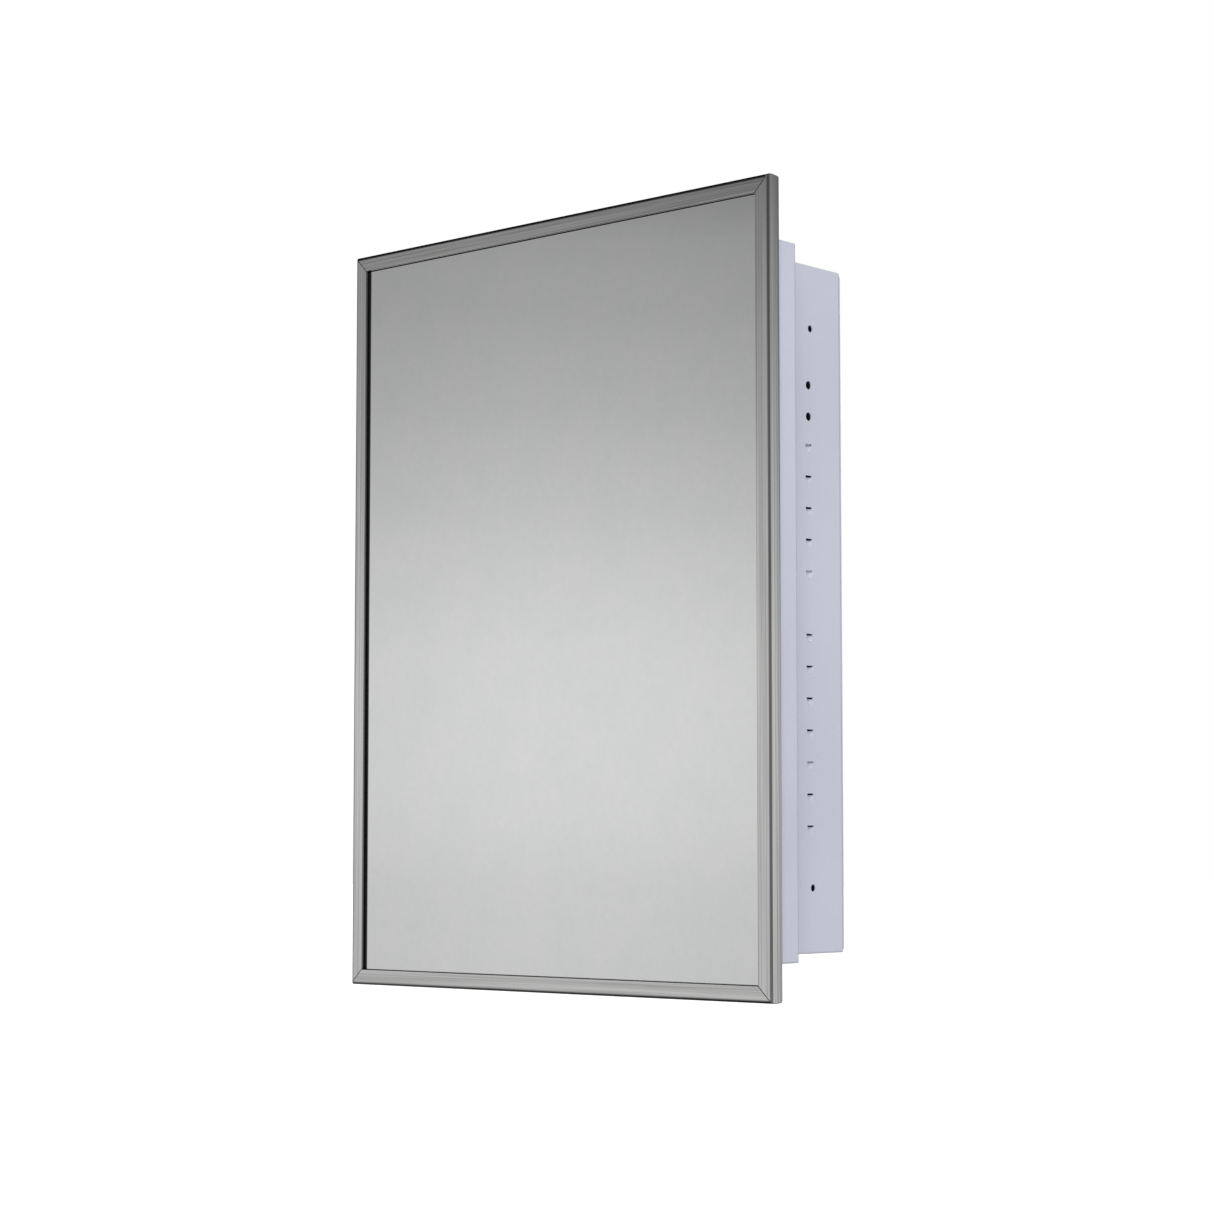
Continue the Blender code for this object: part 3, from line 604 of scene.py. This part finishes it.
def channel_section():
    """Section of the door frame as (inset from the door's edge, depth)."""
    _, _, _, front, back = door_edges()
    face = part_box("frame_left")[1].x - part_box("frame_left")[0].x
    front_centre = (FRAME_FRONT_BEND, front + FRAME_FRONT_BEND)
    lean = math.radians(FRAME_LEAN)
    lean_end = back - FRAME_REAR_BEND * (1 - math.sin(lean))
    lean_centre = (FRAME_LEAN_RADIUS, lean_end - FRAME_LEAN_RADIUS * math.sin(lean))
    rear_inset = FRAME_LEAN_RADIUS * (1 - math.cos(lean)) + FRAME_REAR_BEND * math.cos(lean)
    rear_centre = (rear_inset, back - FRAME_REAR_BEND)
    lip_end = front + FRAME_LIP
    lip_centre = (face - FRAME_LIP_EDGE, front + FRAME_LIP_EDGE)
    section = [(face, lip_end)]
    section += arc(lip_centre, FRAME_LIP_EDGE, 0, -90, LIP_STEPS)
    section += arc(front_centre, FRAME_FRONT_BEND, -90, -180, FRONT_BEND_STEPS)
    section += arc(lean_centre, FRAME_LEAN_RADIUS, 180, 180 - FRAME_LEAN)
    section += arc(rear_centre, FRAME_REAR_BEND, 180 - FRAME_LEAN, 90)[1:]
    section += [(FRAME_REAR_LEG, back), (FRAME_REAR_LEG, back - SHEET)]
    inside = FRAME_REAR_BEND - SHEET
    section += arc(rear_centre, inside, 90, 180 - FRAME_LEAN, REAR_INSIDE_STEPS)
    inside = FRAME_LEAN_RADIUS - SHEET
    section += arc(lean_centre, inside, 180 - FRAME_LEAN, 180, INSIDE_STEPS)[1:]
    section += arc(front_centre, FRAME_FRONT_BEND - SHEET, 180, 270, INSIDE_STEPS)
    section += [(face - SHEET, front + SHEET), (face - SHEET, lip_end)]
    return section


def gasket_section():
    """Section of the glazing strip: a bead with round shoulders."""
    low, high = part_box("gasket_left")
    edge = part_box("frame_left")[0].x
    half_width, half_depth = (high.x - low.x) / 2, (high.y - low.y) / 2
    middle_x, middle_y, _ = middle_of(low, high)
    radius = half_width * GASKET_ROUNDNESS
    outline = rounded_rectangle(half_width, half_depth, radius, GASKET_STEPS)
    return [(middle_x - edge + u, middle_y + v) for u, v in outline]


def mitred_bar(section, along, side, softness):
    """A section swept along one edge of the door, with softened mitred ends."""
    half_x, half_z, centre_z, _, _ = door_edges()
    half = {"x": half_x, "z": half_z}
    across = "z" if along == "x" else "x"
    ends = []
    for end, outline, pull in (
        (-1, shrunk(section, softness), 0),
        (-1, section, softness * math.sqrt(2)),
        (1, section, softness * math.sqrt(2)),
        (1, shrunk(section, softness), 0),
    ):
        ring = []
        for inset, depth in outline:
            reach = {
                along: end * (half[along] - inset - MITRE_GAP - pull),
                across: side * (half[across] - inset),
            }
            ring.append((reach["x"], depth, reach["z"] + centre_z))
        ends.append(ring)
    shape = bmesh.new()
    loft(shape, ends)
    return shape


def build_frame():
    for edge, along, side in FRAME_SIDES:
        look = LOOKS[f"stainless_{along}"]
        bar = mitred_bar(channel_section(), along, side, MITRE_SOFTNESS)
        add_piece(f"door_frame_{edge}", bar, look, "door", f"frame_{edge}")
        look = LOOKS["gasket"]
        strip = mitred_bar(gasket_section(), along, side, EDGE_SOFTNESS)
        add_piece(f"glazing_strip_{edge}", strip, look, "door", f"gasket_{edge}")


def build_mirror():
    glass = plate("mirror_glass", SHEET, GLASS_ARRIS)
    add_piece("mirror", glass, LOOKS["mirror"], "door", "mirror_glass")


# Cabinet


def add_dome(shape, centre, inward, reach, half_length, drop, rim):
    """The lower half of a flattened dome on the wall, with a short straight rim above it."""
    rings = []
    for level in DOME_LEVELS:
        size = math.cos(math.radians(level))
        depth = inward * reach * math.sin(math.radians(level))
        points = []
        for angle in range(180, 361, DOME_TURN):
            across = half_length * size * math.cos(math.radians(angle))
            points.append((depth, across, drop * size * math.sin(math.radians(angle))))
        points += [(depth, side * half_length * size, rim) for side in (1, -1)]
        rings.append([Vector(centre) + Vector(point) for point in points])
    loft(shape, rings)


def lances():
    """The (side, row, height) of every pressed shelf rest."""
    places = []
    for side in (-1, 1):
        for row in REST_ROWS:
            places += [(side, row, index * REST_PITCH + LANCE_RAISE) for index in LANCED_RESTS]
    return places


def box_scoops():
    """The inner side of every shelf rest, pressed into the box."""
    shape = bmesh.new()
    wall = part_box("box_shell")[1].x - SHEET / 2
    half_length, reach = LANCE_LENGTH / 2, LANCE_REACH + SHEET / 2
    for side, row, height in lances():
        place = (side * wall, row, height)
        add_dome(shape, place, -side, reach, half_length, LANCE_DROP, LANCE_RIM)
    return shape


def box_cutters():
    """The holes of both side walls, and the hollow and slit of every shelf rest."""
    shape = bmesh.new()
    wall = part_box("box_shell")[1].x
    through = 4 * SHEET
    for side in (-1, 1):
        for row, height in MOUNT_HOLE_PLACES:
            add_cylinder(shape, (side * wall, row, height), X_AXIS, MOUNT_HOLE_RADIUS, through)
        for row in REST_ROWS:
            for index in OPEN_RESTS:
                place = (side * wall, row, index * REST_PITCH)
                add_cylinder(shape, place, X_AXIS, OPEN_REST_RADIUS, through)
    outside = SHEET / 4
    reach = outside + SHEET + LANCE_REACH - LANCE_SHEET
    half_length, drop = LANCE_LENGTH / 2 - LANCE_SHEET, LANCE_DROP - LANCE_SHEET
    for side, row, height in lances():
        place = (side * (wall + outside), row, height)
        add_dome(shape, place, -side, reach, half_length, drop, LANCE_SLIT)
    return shape


def outer_loop(high, back, inset, depth, thickness=0.0):
    """The outline of a formed sheet at a depth, with its sharper rear bends at top and bottom."""
    if depth < back - REAR_BEND:
        above = inset
    else:
        radius = END_REAR_BEND - thickness
        past_start = min(max(depth - (back - END_REAR_BEND), 0), radius)
        turned_in = thickness + radius - math.sqrt(radius**2 - past_start**2)
        above = max(turned_in, inset - REAR_BEND + END_REAR_BEND)
    return (high.x - inset, high.z - above, max(OUTER_CORNER - inset, LEAST_CORNER), depth)


def build_box():
    low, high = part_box("box_shell")
    front, back = low.y, high.y

    def loop(inset, depth, thickness=0.0):
        return outer_loop(high, back, inset, depth, thickness)

    loops = [loop(0, front)]
    bend_centre = (-REAR_BEND, back - REAR_BEND)
    loops += [loop(-u, v) for u, v in arc(bend_centre, REAR_BEND, 0, 90)]
    loops += [loop(REAR_RETURN, back), loop(REAR_RETURN, back - SHEET, SHEET)]
    loops += [loop(-u, v, SHEET) for u, v in arc(bend_centre, REAR_BEND - SHEET, 90, 0)]
    loops += [loop(SHEET, front, SHEET)]
    shell = combined(sweep_loops(loops), box_scoops(), "UNION")
    shell = combined(shell, box_cutters(), "DIFFERENCE")
    soften(shell, CUT_SOFTNESS, segments=1, angle=50)
    add_piece("cabinet_box", shell, LOOKS["enamel"], "cabinet", "box_shell")


def build_flange():
    low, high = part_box("front_flange")
    box_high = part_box("box_shell")[1]
    front, plane = low.y, high.y
    leg_width = box_high.x - 2 * SHEET - GAP
    leg_height = box_high.z - 2 * SHEET - GAP
    leg_corner = CORNER - 2 * SHEET - GAP
    leg_end = front + FLANGE_INNER_LEG

    def outer(inset, depth, thickness=0.0):
        return outer_loop(high, plane, inset, depth, thickness)

    def inner(outset, depth):
        return (leg_width + outset, leg_height + outset, leg_corner + outset, depth)

    rear_centre = (-REAR_BEND, plane - REAR_BEND)
    front_centre = (-BEND, front + BEND)
    leg_centre = (INNER_BEND, front + INNER_BEND)
    loops = [outer(FLANGE_RETURN, plane)]
    loops += [outer(-u, v) for u, v in arc(rear_centre, REAR_BEND, 90, 0)]
    loops += [outer(-u, v) for u, v in arc(front_centre, BEND, 0, -90)]
    loops += [inner(u, v) for u, v in arc(leg_centre, INNER_BEND, 270, 180)]
    loops += [inner(0, leg_end), inner(SHEET, leg_end)]
    loops += [inner(u, v) for u, v in arc(leg_centre, INNER_BEND - SHEET, 180, 270)]
    loops += [outer(-u, v) for u, v in arc(front_centre, BEND - SHEET, -90, 0)]
    loops += [outer(-u, v, SHEET) for u, v in arc(rear_centre, REAR_BEND - SHEET, 0, 90)]
    loops += [outer(FLANGE_RETURN, plane - SHEET, SHEET)]
    flange = sweep_loops(loops)
    soften(flange, FOLD_SOFTNESS, angle=60)
    add_piece("flange", flange, LOOKS["enamel"], "cabinet", "front_flange")


def build_panels():
    for piece, node, body, corner in (
        ("rear_panel", "back_panel", "cabinet", BEND),
        ("door_inner_panel", "door_back_panel", "door", SHEET),
    ):
        sheet = plate(node, corner, EDGE_SOFTNESS)
        add_piece(piece, sheet, LOOKS["enamel"], body, node)


def build_shelves():
    for place in ("lower", "middle", "upper"):
        low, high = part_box(f"shelf_{place}")
        top = high.z
        front = (low.y + SHELF_BEND, top - SHELF_BEND)
        rear = (high.y - SHELF_BEND, top - SHELF_BEND)
        section = [(low.y, top - SHELF_LIP_FRONT)]
        section += arc(front, SHELF_BEND, 180, 90)
        section += arc(rear, SHELF_BEND, 90, 0)
        section += [(high.y, top - SHELF_LIP_REAR), (high.y - SHEET, top - SHELF_LIP_REAR)]
        section += arc(rear, SHELF_BEND - SHEET, 0, 90)
        section += arc(front, SHELF_BEND - SHEET, 90, 180)
        section += [(low.y + SHEET, top - SHELF_LIP_FRONT)]
        shape = bmesh.new()
        add_prism(shape, [(low.x, y, z) for y, z in section], X_AXIS * (high.x - low.x))
        soften(shape, FOLD_SOFTNESS, angle=50)
        add_piece(f"{place}_shelf", shape, LOOKS["enamel"], "cabinet", f"shelf_{place}")


# Hinge


def build_leaf(piece, node, body, first, place):
    """A leaf with every second knuckle rolled on it, counted from the first.

    place turns (distance out from the pin, distance towards the outer face, height) to a point.
    """
    low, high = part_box(node)
    pitch = (high.z - low.z) / KNUCKLES
    half_width, half_height = (LEAF_WIDTH - LEAF_CLEARANCE) / 2, (high.z - low.z) / 2
    middle = (LEAF_WIDTH + LEAF_CLEARANCE) / 2
    inside, outside = LEAF_SURFACE - LEAF_SHEET, LEAF_SURFACE
    outline = rounded_rectangle(half_width, half_height, LEAF_CORNER, LEAF_CORNER_STEPS)
    sheet = bmesh.new()
    loft(sheet, [[place(middle + u, depth, v) for u, v in outline] for depth in (inside, outside)])
    section = [(LEAF_CLEARANCE + LEAF_OVERLAP, outside)]
    section += arc((0, 0), outside, 90, ROLL_END, ROLL_STEPS)
    section += arc((0, 0), inside, ROLL_END, 90, ROLL_STEPS)
    section += [(LEAF_CLEARANCE + LEAF_OVERLAP, inside)]
    rolls = bmesh.new()
    for index in range(first, KNUCKLES, 2):
        start = low.z + index * pitch + KNUCKLE_GAP / 2
        end = start + pitch - KNUCKLE_GAP
        loft(rolls, [[place(u, v, height) for u, v in section] for height in (start, end)])
    leaf = combined(sheet, rolls, "UNION")
    soften(leaf, ROLL_SOFTNESS, segments=1, angle=55)
    add_piece(piece, leaf, LOOKS["hinge"], body, node)


def rivet_profile(length, head):
    """Domed head, shank and flat tail, as (radius, distance) points from the head's top."""
    profile = []
    for angle in map(math.radians, RIVET_DOME):
        drop = RIVET_HEAD_HEIGHT * (1 - math.cos(angle)) * RIVET_CROWN
        profile.append((head * math.sin(angle), drop))
    tail = length - RIVET_TAIL_HEIGHT
    profile += [(head, RIVET_HEAD_HEIGHT), (RIVET_SHANK, RIVET_HEAD_HEIGHT), (RIVET_SHANK, tail)]
    profile += [(RIVET_TAIL, tail), (RIVET_TAIL, length - RIVET_TAIL_EDGE)]
    profile += [(RIVET_TAIL * RIVET_TAIL_END, length)]
    return profile


def build_hinge():
    low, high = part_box("hinge_pin")
    axis_x, axis_y, _ = middle_of(low, high)

    def on_door(out, outer, height):
        return (axis_x + out, axis_y - outer, height)

    def on_cabinet(out, outer, height):
        return (axis_x + outer, axis_y + out, height)

    build_leaf("door_leaf", "hinge_door_leaf", "door", 1, on_door)
    build_leaf("cabinet_leaf", "hinge_cabinet_leaf", "cabinet", 0, on_cabinet)
    radius, length = (high.x - low.x) / 2, high.z - low.z
    profile = [(radius * share, distance) for share, distance in PIN_END]
    profile += [(across, length - distance) for across, distance in reversed(profile)]
    pin = turned(profile, (axis_x, axis_y, low.z), Z_AXIS)
    look = LOOKS["hinge"]
    add_piece("pin", pin, look, "cabinet", "hinge_pin")
    for index in range(1, RIVETS + 1):
        node = f"hinge_door_rivet_{index}"
        low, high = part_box(node)
        middle_x, _, middle_z = middle_of(low, high)
        profile = rivet_profile(high.y - low.y, (high.x - low.x) / 2)
        rivet = turned(profile, (middle_x, high.y, middle_z), -Y_AXIS)
        add_piece(f"door_rivet_{index}", rivet, look, "door", node)
        node = f"hinge_cabinet_rivet_{index}"
        low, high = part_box(node)
        _, middle_y, middle_z = middle_of(low, high)
        profile = rivet_profile(high.x - low.x, (high.z - low.z) / 2)
        rivet = turned(profile, (low.x, middle_y, middle_z), X_AXIS)
        add_piece(f"cabinet_rivet_{index}", rivet, look, "cabinet", node)


# Catch, screws and bumpers


def screw_profile(length, head, head_height):
    """Pan head, threaded shank and a short point, measured from the head's top."""
    profile = [(head * across, head_height * down) for across, down in PAN_HEAD]
    profile += [(SCREW_SHANK, head_height)]
    depth = head_height + THREAD_PITCH / 2
    while depth + THREAD_PITCH < length - SCREW_SHANK * SCREW_TAPER:
        profile += [(SCREW_SHANK - THREAD_DEPTH, depth), (SCREW_SHANK, depth + THREAD_PITCH / 2)]
        depth += THREAD_PITCH
    profile += [(SCREW_SHANK - THREAD_DEPTH, depth), (SCREW_SHANK * SCREW_TIP, length)]
    return profile


def cross_cutter(start, axis):
    """The recess of a cross-head screw, whose head's top is at start."""
    other = axis.cross(Z_AXIS)
    long, short = CROSS_REACH, CROSS_WIDTH
    corners = [(short, short), (short, long), (-short, long), (-short, short)]
    corners += [(-long, short), (-long, -short), (-short, -short), (-short, -long)]
    corners += [(short, -long), (short, -short), (long, -short), (long, short)]
    shape = bmesh.new()
    rings = []
    for depth, scale in ((-CROSS_DEPTH, CROSS_TOP), (CROSS_DEPTH, CROSS_FLOOR)):
        middle = Vector(start) + axis * depth
        rings.append([middle + (Z_AXIS * u + other * v) * scale for u, v in corners])
    loft(shape, rings)
    return shape


def build_screws():
    for word in ("upper", "lower"):
        for kind, axis, body in (("catch", X_AXIS, "cabinet"), ("strike", -Y_AXIS, "door")):
            node = f"{kind}_screw_{word}"
            low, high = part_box(node)
            middle = (low + high) / 2
            if kind == "catch":
                start, length = (low.x, middle.y, middle.z), high.x - low.x
            else:
                start, length = (middle.x, high.y, middle.z), high.y - low.y
            profile = screw_profile(length, (high.z - low.z) / 2, SCREW_HEAD_HEIGHTS[kind])
            screw = turned(profile, start, axis)
            screw = combined(screw, cross_cutter(start, axis), "DIFFERENCE")
            add_piece(f"{kind}_fixing_{word}", screw, LOOKS["zinc"], body, node)


def build_catch():
    low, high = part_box("catch_housing")
    body = bmesh.new()
    add_box(body, (low.x, low.y, -CATCH_HALF_HEIGHT), (high.x, high.y, CATCH_HALF_HEIGHT))
    soften(body, CATCH_ROUNDING, segments=ROUNDING_STEPS)
    ears = bmesh.new()
    half_width = (EAR_DEPTHS[1] - EAR_DEPTHS[0]) / 2
    middle = (EAR_DEPTHS[1] + EAR_DEPTHS[0]) / 2
    outline = rounded_rectangle(half_width, high.z, half_width * EAR_ROUNDNESS)
    add_prism(ears, [(high.x - EAR_SHEET, middle + u, v) for u, v in outline], X_AXIS * EAR_SHEET)
    housing = combined(body, ears, "UNION")
    inner_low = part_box("catch_pole_inner")[0]
    outer_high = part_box("catch_pole_outer")[1]
    cutter = bmesh.new()
    add_box(
        cutter,
        (inner_low.x - GAP, low.y - SHEET, inner_low.z - GAP),
        (outer_high.x + GAP, outer_high.y + GAP, outer_high.z + GAP),
    )
    for word in ("upper", "lower"):
        screw_low, screw_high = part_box(f"catch_screw_{word}")
        middle = (screw_low + screw_high) / 2
        add_cylinder(cutter, (high.x, middle.y, middle.z), X_AXIS, SCREW_HOLE, 3 * EAR_SHEET)
    housing = combined(housing, cutter, "DIFFERENCE")
    add_piece("catch_body", housing, LOOKS["plastic"], "cabinet", "catch_housing")
    for piece, node, look in (
        ("inner_pole", "catch_pole_inner", "zinc"),
        ("outer_pole", "catch_pole_outer", "zinc"),
        ("magnet", "catch_magnet", "ferrite"),
    ):
        low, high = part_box(node)
        block = bmesh.new()
        add_box(block, low, high)
        soften(block, POLE_ROUNDING, segments=ROUNDING_STEPS)
        add_piece(piece, block, LOOKS[look], "cabinet", node)


def build_strike():
    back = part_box("strike_plate")[1].y
    cutter = bmesh.new()
    for word in ("upper", "lower"):
        screw_low, screw_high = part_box(f"strike_screw_{word}")
        middle = (screw_low + screw_high) / 2
        add_cylinder(cutter, (middle.x, back, middle.z), Y_AXIS, SCREW_HOLE, 4 * SHEET)
    sheet = plate("strike_plate", STRIKE_CORNER, STRIKE_ROUNDING)
    strike = combined(sheet, cutter, "DIFFERENCE")
    add_piece("strike", strike, LOOKS["zinc"], "door", "strike_plate")


def bumper_profile(radius, height):
    """A low button with a rounded shoulder and a slight crown, measured from its foot."""
    profile = [(radius * BUMPER_FOOT, 0), (radius, BUMPER_EDGE), (radius, height - BUMPER_ROUNDING)]
    for angle in map(math.radians, BUMPER_CURVE):
        inset = BUMPER_ROUNDING * (1 - math.cos(angle))
        drop = BUMPER_ROUNDING * (1 - math.sin(angle) * BUMPER_CROWN)
        profile.append((radius - inset, height - drop))
    profile += [(radius * share, height - drop) for share, drop in BUMPER_TOP]
    return profile


def build_bumpers():
    for word in ("upper", "lower"):
        node = f"bumper_{word}"
        low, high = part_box(node)
        middle_x, _, middle_z = middle_of(low, high)
        profile = bumper_profile((high.x - low.x) / 2, high.y - low.y)
        buffer = turned(profile, (middle_x, high.y, middle_z), -Y_AXIS)
        add_piece(f"buffer_{word}", buffer, LOOKS["rubber"], "cabinet", node)


# Stage


def share_of(tree, source, low, high):
    """A value as its share of the way from low to high."""
    node = tree.nodes.new("ShaderNodeMapRange")
    node.inputs["From Min"].default_value = low
    node.inputs["From Max"].default_value = high
    tree.links.new(source, node.inputs["Value"])
    return node.outputs["Result"]


def calculated(tree, operation, first, second=None):
    """The result of a Math node. second is an output or a number."""
    node = tree.nodes.new("ShaderNodeMath")
    node.operation = operation
    tree.links.new(first, node.inputs[0])
    if isinstance(second, bpy.types.NodeSocket):
        tree.links.new(second, node.inputs[1])
    elif second is not None:
        node.inputs[1].default_value = second
    return node.outputs["Value"]


def smooth_curve(tree, share, stops, low, high):
    """A smooth curve through (position, value) stops. share runs from 0 at low to 1 at high."""
    node = tree.nodes.new("ShaderNodeValToRGB")
    node.color_ramp.interpolation = "CARDINAL"
    elements = node.color_ramp.elements
    while len(elements) < len(stops):
        elements.new(0.5)
    for element, (position, value) in zip(elements, stops):
        element.position = (position - low) / (high - low)
        element.color = (value, value, value, 1)
    tree.links.new(share, node.inputs["Fac"])
    return node.outputs["Color"]


def mixed(tree, factor, first, second, blend="MIX"):
    """Two colours mixed by a factor. Each of the three is an output or a value."""
    node = tree.nodes.new("ShaderNodeMix")
    node.data_type = "RGBA"
    node.blend_type = blend
    for socket, source in (("Factor", factor), ("A", first), ("B", second)):
        if isinstance(source, bpy.types.NodeSocket):
            tree.links.new(source, node.inputs[socket])
        else:
            node.inputs[socket].default_value = source
    return node.outputs["Result"]


def build_world():
    """White behind the object, an even fill on matt surfaces, and a shaded room for reflections."""
    world = bpy.data.worlds.new("studio")
    bpy.context.scene.world = world
    world.use_nodes = True
    tree = world.node_tree
    tree.nodes.clear()
    split = tree.nodes.new("ShaderNodeSeparateXYZ")
    towards = tree.nodes.new("ShaderNodeTexCoord").outputs["Generated"]
    tree.links.new(towards, split.inputs["Vector"])
    forward = calculated(tree, "MULTIPLY", split.outputs["Y"], -1)
    elevation = calculated(tree, "ARCSINE", split.outputs["Z"])
    direction = calculated(tree, "ARCTAN2", split.outputs["X"], forward)
    height = share_of(tree, elevation, math.radians(-90), math.radians(90))
    turn = share_of(tree, direction, math.radians(-180), math.radians(180))
    by_height = smooth_curve(tree, height, ROOM_BY_HEIGHT, -90, 90)
    by_direction = smooth_curve(tree, turn, ROOM_BY_DIRECTION, -180, 180)
    unevenness = share_of(tree, height, (90 + EVEN_BELOW) / 180, (90 + UNEVEN_ABOVE) / 180)
    even = (FLOOR_FACTOR, FLOOR_FACTOR, FLOOR_FACTOR, 1)
    walls = mixed(tree, unevenness, even, by_direction)
    room = mixed(tree, 1, by_height, walls, "MULTIPLY")
    fill = smooth_curve(tree, share_of(tree, forward, -1, 1), SOFT_FILL, 0, 1)
    path = tree.nodes.new("ShaderNodeLightPath")
    unseen = mixed(tree, path.outputs["Is Diffuse Ray"], room, fill)
    background = tree.nodes.new("ShaderNodeBackground")
    colour = mixed(tree, path.outputs["Is Camera Ray"], unseen, WHITE)
    tree.links.new(colour, background.inputs["Color"])
    output = tree.nodes.new("ShaderNodeOutputWorld")
    tree.links.new(background.outputs["Background"], output.inputs["Surface"])


def build_softboxes():
    for name, place, size, power in SOFTBOXES:
        light = bpy.data.lights.new(name, "AREA")
        light.shape = "SQUARE"
        light.size = size
        light.energy = power
        lamp = bpy.data.objects.new(name, light)
        lamp.location = place
        lamp.rotation_euler = (-Vector(place)).to_track_quat("-Z", "Y").to_euler()
        lamp.visible_glossy = False
        bpy.context.scene.collection.objects.link(lamp)


def build_floor():
    look = Look("floor")
    look.colour(look.ramp(look.noise(0.8), FLOOR_TONES))
    look.set(Roughness=0.9, Emission_Color=WHITE, Emission_Strength=FLOOR_GLOW)
    shape = bmesh.new()
    bmesh.ops.create_grid(shape, x_segments=FLOOR_CELLS, y_segments=FLOOR_CELLS, size=FLOOR_REACH)
    mesh = bpy.data.meshes.new("floor")
    shape.to_mesh(mesh)
    shape.free()
    mesh.materials.append(look.material)
    floor = bpy.data.objects.new("floor", mesh)
    floor.location = (0, 0, FLOOR_HEIGHT)
    floor.visible_glossy = False
    floor.visible_diffuse = False
    bpy.context.scene.collection.objects.link(floor)


def build_camera():
    camera = bpy.data.cameras.new("camera")
    camera.lens = CAMERA_LENS
    camera.shift_y = CAMERA_SHIFT
    holder = bpy.data.objects.new("camera", camera)
    holder.location = CAMERA_PLACE
    holder.rotation_euler = (math.radians(CAMERA_PITCH), 0, math.radians(CAMERA_TURN))
    bpy.context.scene.collection.objects.link(holder)
    bpy.context.scene.camera = holder


KEY_PLACES = ("top_left", "top_right", "bottom_left", "bottom_right")
CAD_LOOKS = {
    "zinc": [f"corner_key_{place}" for place in KEY_PLACES],
    "cushion": ["mirror_backing"],
}


def dress_cad_nodes():
    """New looks for the hidden nodes that keep their CAD shapes."""
    for look, nodes in CAD_LOOKS.items():
        for node in nodes:
            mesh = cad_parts[node].data
            mesh.materials.clear()
            mesh.materials.append(LOOKS[look])


dress_cad_nodes()
build_frame()
build_mirror()
build_box()
build_flange()
build_panels()
build_shelves()
build_hinge()
build_screws()
build_catch()
build_strike()
build_bumpers()
build_world()
build_floor()
build_softboxes()
build_camera()
bpy.context.scene.view_settings.view_transform = "Standard"
